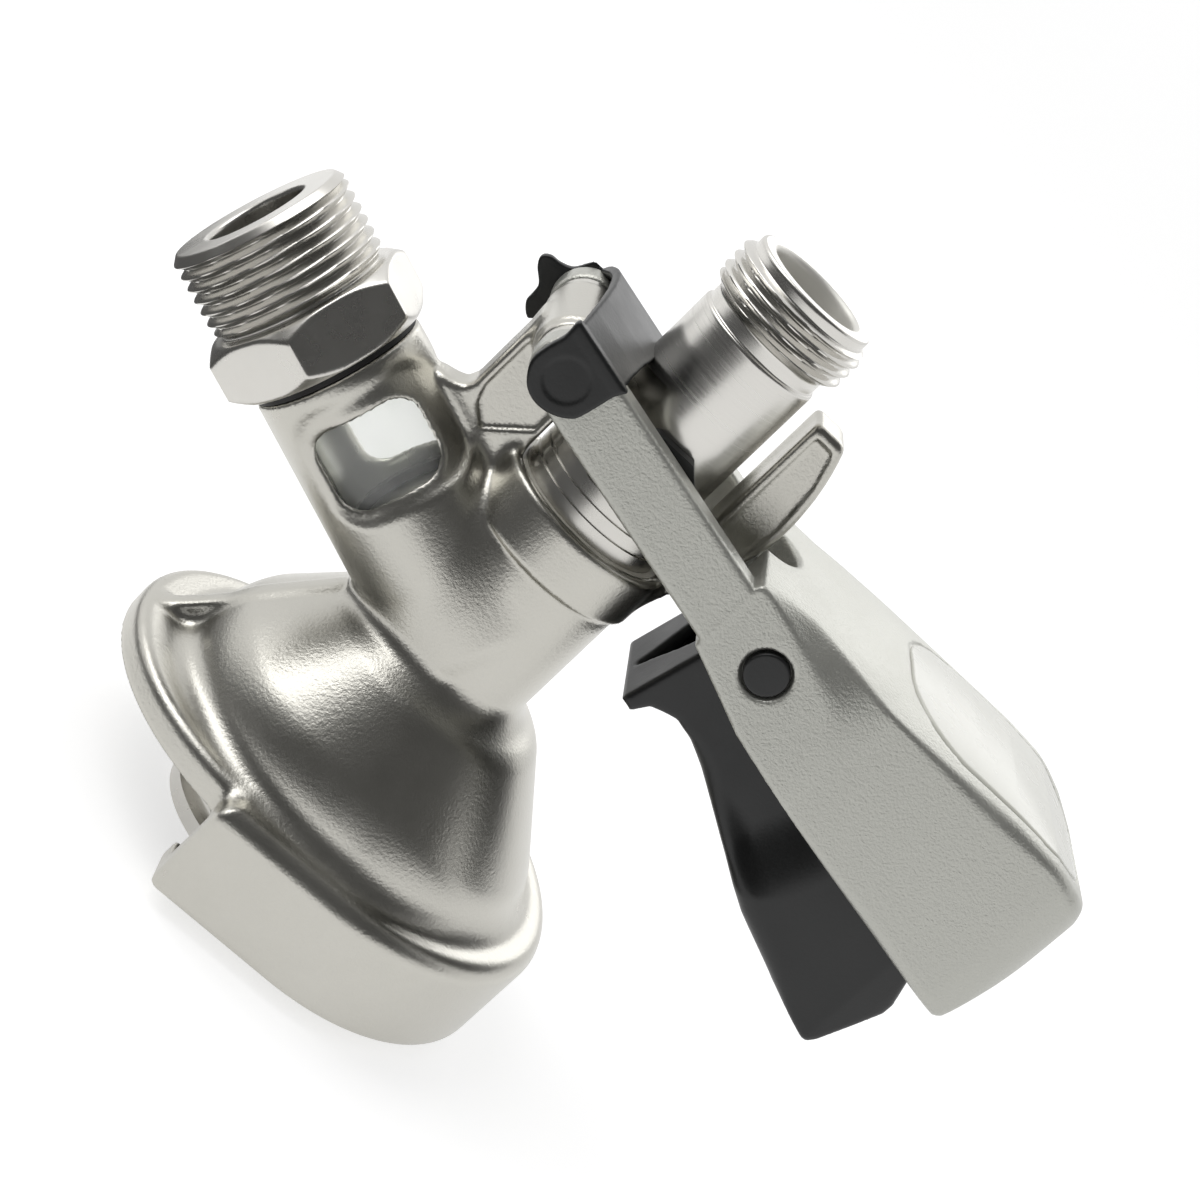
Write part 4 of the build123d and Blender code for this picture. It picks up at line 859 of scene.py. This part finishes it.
def wound(name, around=10, steps=36):
    """Coil spring of round wire, standing on the lever, with a closed turn at each end."""
    turns = SPRING["turns"]
    count = int(turns * steps)
    half = SPRING["wire"]
    vertices, faces = [], []
    for i in range(count + 1):
        turn = i / steps
        open_turns = turns - 2 * SPRING["closed"]
        climb = min(max(turn - SPRING["closed"], 0), open_turns) / open_turns
        seat = min(turn, SPRING["closed"]) + max(turn - turns + SPRING["closed"], 0)
        free = SPRING["top"] - SPRING["low"] - 2 * half - 2 * SPRING["closed"] * 2 * half
        height = SPRING["low"] + half + climb * free + seat * 2 * half
        angle = 2 * math.pi * turn
        for j in range(around):
            tip = 2 * math.pi * j / around
            reach = SPRING["radius"] + half * math.cos(tip)
            vertices.append(((HINGE[0] + SPRING["x"] + reach * math.cos(angle)) * MM,
                             reach * math.sin(angle) * MM,
                             (HINGE[1] + height + half * math.sin(tip)) * MM))
        if i:
            a, b = (i - 1) * around, i * around
            faces += [(a + j, a + (j + 1) % around, b + (j + 1) % around, b + j) for j in range(around)]
    faces += [tuple(range(around))[::-1], tuple(range(count * around, (count + 1) * around))]
    mesh = bpy.data.meshes.new(name)
    mesh.from_pydata(vertices, [], faces)
    mesh.polygons.foreach_set("use_smooth", [len(face) == 4 for face in faces])
    piece = bpy.data.objects.new(name, mesh)
    bpy.context.scene.collection.objects.link(piece)
    return piece


class COUPLER_OT_mouldings(bpy.types.Operator):
    """Skin the black clip over the hinge and the lever under the grip"""

    bl_idname = "coupler.mouldings"
    bl_label = "Black Mouldings"

    def execute(self, context):
        grid = Grid((-29, -20, 76), (-6, 20, 99), cell_mm() * 0.6)
        clip = skinned("hinge_clip_moulding", clip_field(grid), grid)
        dress(clip, "black_plastic", "handle", "hinge_clip")
        grid = Grid((19, -16.5, 35), (83.5, 16.5, 81), cell_mm() * 0.9)
        lever = skinned("lever_moulding", lever_field(grid), grid)
        dress(lever, "black_plastic", "latch", "latch_lever")
        coil = wound("latch_spring_coil")
        dress(coil, "turned_steel", "latch", "latch_spring")
        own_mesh(coil)
        return {"FINISHED"}


# ---------------------------------------------------------------- turned fittings

THREAD_PITCH = 1.814


def nut_field(grid):
    """Distance field of the nipple's hexagon, with turned chamfers on both faces."""
    x, y, z = grid.x, grid.y, grid.z
    flats = np.maximum(np.abs(x), np.maximum(np.abs(x / 2 + y * 0.8660), np.abs(x / 2 - y * 0.8660))) - 14.0
    r = np.sqrt(x ** 2 + y ** 2)
    outer = (r - 13.9) * 0.621 + (z - 52.6) * 0.784
    inner = (r - 13.9) * 0.621 + (43.6 - z) * 0.784
    nut = trim(flats, np.maximum(outer, inner), 0.2)
    nut = trim(nut, np.maximum(z - 52.6, 43.6 - z), 0.2)
    return carve(nut, r - 11.5, 0.1)


class COUPLER_OT_fittings(bpy.types.Operator):
    """Turn the gas nipple with its hexagon and thread, and the beer outlet with its groove and thread"""

    bl_idname = "coupler.fittings"
    bl_label = "Turned Fittings"

    def execute(self, context):
        sizes = context.scene.coupler_sizes
        place = branch_matrix(sizes)
        grid = Grid((-15, -17, 43), (15, 17, 53.2), cell_mm() * 0.7)
        nut = skinned("gas_nipple_hexagon", nut_field(grid), grid, place)
        dress(nut, "turned_steel", "body", "gas_nipple")
        barrel = [(9.4, 39.8), (10.85, 39.8, 0.3), (10.85, 43.7), (12.9, 43.9), (12.9, 52.4),
                  (12.1, 52.7, 0.2),
                  (12.1, 53.2, 0.2), (13.22, 54.0), (13.22, 64.6, 0.2), (12.25, 65.8, 0.25), (7.2, 65.8, 0.7),
                  (7.2, 45.8), (9.4, 45.8), (9.4, 39.8)]
        dress(lathed("gas_nipple_barrel", barrel, place, 192, (53.2, 64.7, THREAD_PITCH, 1.1, 13.22)),
              "turned_steel", "body", "gas_nipple")
        tube = [(6.0, 71.6), (8.6, 71.6, 0.3), (8.6, 80.4), (10.15, 80.6), (10.15, 104.9, 0.35),
                (9.72, 105.2, 0.2),
                (9.72, 107.3, 0.3), (10.3, 107.7, 0.2), (11.455, 108.6, 0.2), (11.455, 113.5, 0.3),
                (10.15, 114.2, 0.2), (10.15, 116.0, 0.6), (7.4, 116.0, 1.0), (7.4, 80.5), (6.0, 71.6)]
        outlet = lathed("beer_outlet_tube", tube, Matrix.Identity(4), 192,
                        (108.0, 114.0, THREAD_PITCH, 1.05, 11.455))
        dress(outlet, "polished_tube", "probe", "outlet_tube")
        line_bore(outlet, 8.0)
        return {"FINISHED"}


# ---------------------------------------------------------------- other CAD nodes

class COUPLER_OT_carried(bpy.types.Operator):
    """Give the carried-over solids their finishes"""

    bl_idname = "coupler.carried"
    bl_label = "Finish Solids"

    def execute(self, context):
        slots = {row["node"]: row["material_slot"] for row in frame["record"]["subparts"]}
        for node, piece in frame["nodes"].items():
            piece.data.materials.clear()
            piece.data.materials.append(finish_for(slots[node]))
        return {"FINISHED"}


# ---------------------------------------------------------------- studio

LOOK_RIGHT = Vector((0.72482, 0.07073, 0.68530))
LOOK_UP = Vector((-0.65383, 0.38412, 0.65189))
LOOK_BACK = Vector((-0.21713, -0.92057, 0.32466))
CAMERA_AT = (-0.07304, -0.35425, 0.18676)
MIDDLE = Vector((0.012, 0.0, 0.058))
FLOOR_REACH = 9.0
SKY_LIGHT = 0.55
LEFT_CARD = (-0.34, -0.073, -0.5, 0.3)
FRONT_CARD = {"radius": 1.3, "lon": (-104.0, 86.0), "lat": (-33.0, 46.0), "columns": 41, "rows": 17}


def flat_sheet(left, right, near, far, height):
    """Corners of a level rectangle, in metres."""
    return [(left, near, height), (right, near, height), (right, far, height), (left, far, height)]


class COUPLER_PG_studio(bpy.types.PropertyGroup):
    """Camera lens, lamps and the paper's glow."""

    lens: FloatProperty(name="Lens", description="Focal length on a 36 mm sensor, in millimetres",
                        default=80.96, min=1.0)
    key: FloatProperty(name="Key", description="Power of the lamp over the coupler",
                       default=2.4, min=0.0, unit="POWER")
    fill: FloatProperty(name="Fill", description="Power of the lamp behind it",
                        default=1.0, min=0.0, unit="POWER")
    paper: FloatProperty(name="Paper Glow", description="White that the floor shows besides its own shading",
                         default=0.62, min=0.0, max=1.0, subtype="FACTOR")


def area_light(name, away, distance, width, power):
    """Soft square lamp that faces the coupler from a direction, in metres."""
    data = bpy.data.lights.new(name, "AREA")
    data.shape = "SQUARE"
    data.size = width
    data.energy = power
    lamp = bpy.data.objects.new(name, data)
    lamp.location = MIDDLE + away.normalized() * distance
    lamp.rotation_mode = "QUATERNION"
    lamp.rotation_quaternion = (-away).to_track_quat("-Z", "Y")
    bpy.context.scene.collection.objects.link(lamp)
    return lamp


def stage_mesh(name, points, faces, finish):
    """Mesh of the studio, kept out of the object."""
    mesh = bpy.data.meshes.new(name)
    mesh.from_pydata(points, [], faces)
    mesh.materials.append(finish)
    piece = bpy.data.objects.new(name, mesh)
    bpy.context.scene.collection.objects.link(piece)
    return piece


def unseen_card(name, points, faces, finish):
    """Card that only reflections see: it gives the metal its dark bands and throws no shadow."""
    card = stage_mesh(name, points, faces, finish)
    card.visible_camera = False
    card.visible_diffuse = False
    card.visible_shadow = False
    card.visible_transmission = False
    return card


def dark_card():
    """Black card stock: nearly black, without gloss, with the stray light on it painted as a faint white glow."""
    finish, _, shader = new_finish("Black Card Stock")
    shader.inputs["Base Color"].default_value = linear("#161616")
    shader.inputs["Roughness"].default_value = 0.9
    # painted light: a faint white glow stands in for stray light on the card
    shader.inputs["Emission Color"].default_value = linear("#FFFFFF")
    shader.inputs["Emission Strength"].default_value = 0.075
    return finish


def straight_ray(tree):
    """Node that is 1 for rays of the camera, of gloss and of transmission, and 0 for the rest."""
    path = add_node(tree, "ShaderNodeLightPath")
    seen = add_node(tree, "ShaderNodeMath", {"operation": "MAXIMUM"})
    tree.links.new(path.outputs["Is Camera Ray"], seen.inputs[0])
    tree.links.new(path.outputs["Is Glossy Ray"], seen.inputs[1])
    every = add_node(tree, "ShaderNodeMath", {"operation": "MAXIMUM"})
    tree.links.new(seen.outputs[0], every.inputs[0])
    tree.links.new(path.outputs["Is Transmission Ray"], every.inputs[1])
    return every


def paper_roll(glow):
    """Seamless white paper: matt, lit by the lamps, and blown out where the camera or the metal sees it."""
    finish, tree, shader = new_finish("Seamless White Paper")
    shader.inputs["Base Color"].default_value = linear("#D2D2D2")
    shader.inputs["Roughness"].default_value = 0.95
    shader.inputs["Specular IOR Level"].default_value = 0.1
    shader.inputs["Emission Color"].default_value = linear("#FFFFFF")
    seen = straight_ray(tree)
    level = add_node(tree, "ShaderNodeMath", {"operation": "MULTIPLY"})
    tree.links.new(seen.outputs[0], level.inputs[0])
    level.inputs[1].default_value = glow
    tree.links.new(level.outputs[0], shader.inputs["Emission Strength"])
    return finish


class COUPLER_OT_studio(bpy.types.Operator):
    """Make the camera, the paper, the cards, the world and the lamps"""

    bl_idname = "coupler.studio"
    bl_label = "Studio"

    def execute(self, context):
        studio = context.scene.coupler_studio
        data = bpy.data.cameras.new("Camera")
        data.sensor_width = 36.0
        data.lens = studio.lens
        data.clip_start = 0.01
        camera = bpy.data.objects.new("Camera", data)
        camera.matrix_world = Matrix.Translation(CAMERA_AT) @ Matrix(
            (LOOK_RIGHT, LOOK_UP, LOOK_BACK)).transposed().to_4x4()
        context.scene.collection.objects.link(camera)
        context.scene.camera = camera
        low = CAD_BOX[0].z
        stage_mesh("studio_floor", flat_sheet(-FLOOR_REACH, FLOOR_REACH, -FLOOR_REACH, FLOOR_REACH, low),
                   [(0, 1, 2, 3)], paper_roll(studio.paper))
        black = dark_card()
        unseen_card("studio_card_left", flat_sheet(*LEFT_CARD, low + 0.001), [(0, 1, 2, 3)], black)
        columns, rows = FRONT_CARD["columns"], FRONT_CARD["rows"]
        points = []
        for lon in np.radians(np.linspace(*FRONT_CARD["lon"], columns)):
            for lat in np.radians(np.linspace(*FRONT_CARD["lat"], rows)):
                away = (LOOK_RIGHT * math.sin(lon) * math.cos(lat) + LOOK_UP * math.sin(lat)
                        + LOOK_BACK * math.cos(lon) * math.cos(lat))
                spot = MIDDLE + away * FRONT_CARD["radius"]
                points.append((spot.x, spot.y, max(spot.z, low + 0.002)))
        faces = [(i * rows + j, (i + 1) * rows + j, (i + 1) * rows + j + 1, i * rows + j + 1)
                 for i in range(columns - 1) for j in range(rows - 1)]
        unseen_card("studio_card_front", points, faces, black)
        world = bpy.data.worlds.new("Studio")
        context.scene.world = world
        world.use_nodes = True
        tree = world.node_tree
        sky = tree.nodes["Background"]
        sky.inputs["Color"].default_value = linear("#FFFFFF")
        seen = straight_ray(tree)
        level = add_node(tree, "ShaderNodeMapRange", {"To Min": SKY_LIGHT, "To Max": 1.0},
                         {"Value": seen.outputs[0]})
        tree.links.new(level.outputs["Result"], sky.inputs["Strength"])
        context.scene.view_settings.view_transform = "Standard"
        area_light("Key", LOOK_UP * 0.9 + LOOK_BACK * 0.3, 0.8, 0.6, studio.key)
        area_light("Fill", Vector((0.3, 0.8, 0.5)), 0.9, 0.5, studio.fill)
        return {"FINISHED"}


class COUPLER_PT_panel(bpy.types.Panel):
    """Sidebar panel that lists the coupler's steps"""

    bl_idname = "COUPLER_PT_panel"
    bl_label = "Keg Coupler"
    bl_space_type = "VIEW_3D"
    bl_region_type = "UI"
    bl_category = "Coupler"

    def draw(self, context):
        for name in STEPS:
            self.layout.operator(f"coupler.{name}")


STEPS = ("carried", "casting", "handle", "mouldings", "fittings", "studio")
CLASSES = (COUPLER_PG_sizes, COUPLER_PG_colours, COUPLER_PG_studio, COUPLER_OT_casting, COUPLER_OT_handle,
           COUPLER_OT_mouldings, COUPLER_OT_fittings, COUPLER_OT_carried, COUPLER_OT_studio, COUPLER_PT_panel)


def register():
    """Register the classes and the scene's property groups."""
    for cls in CLASSES:
        bpy.utils.register_class(cls)
    bpy.types.Scene.coupler_sizes = PointerProperty(type=COUPLER_PG_sizes)
    bpy.types.Scene.coupler_colours = PointerProperty(type=COUPLER_PG_colours)
    bpy.types.Scene.coupler_studio = PointerProperty(type=COUPLER_PG_studio)


def unregister():
    """Remove the property groups and the classes."""
    del bpy.types.Scene.coupler_studio
    del bpy.types.Scene.coupler_colours
    del bpy.types.Scene.coupler_sizes
    for cls in reversed(CLASSES):
        bpy.utils.unregister_class(cls)


def main():
    """Build everything."""
    register()
    for name in STEPS:
        getattr(bpy.ops.coupler, name)()


if __name__ == "__main__":
    main()
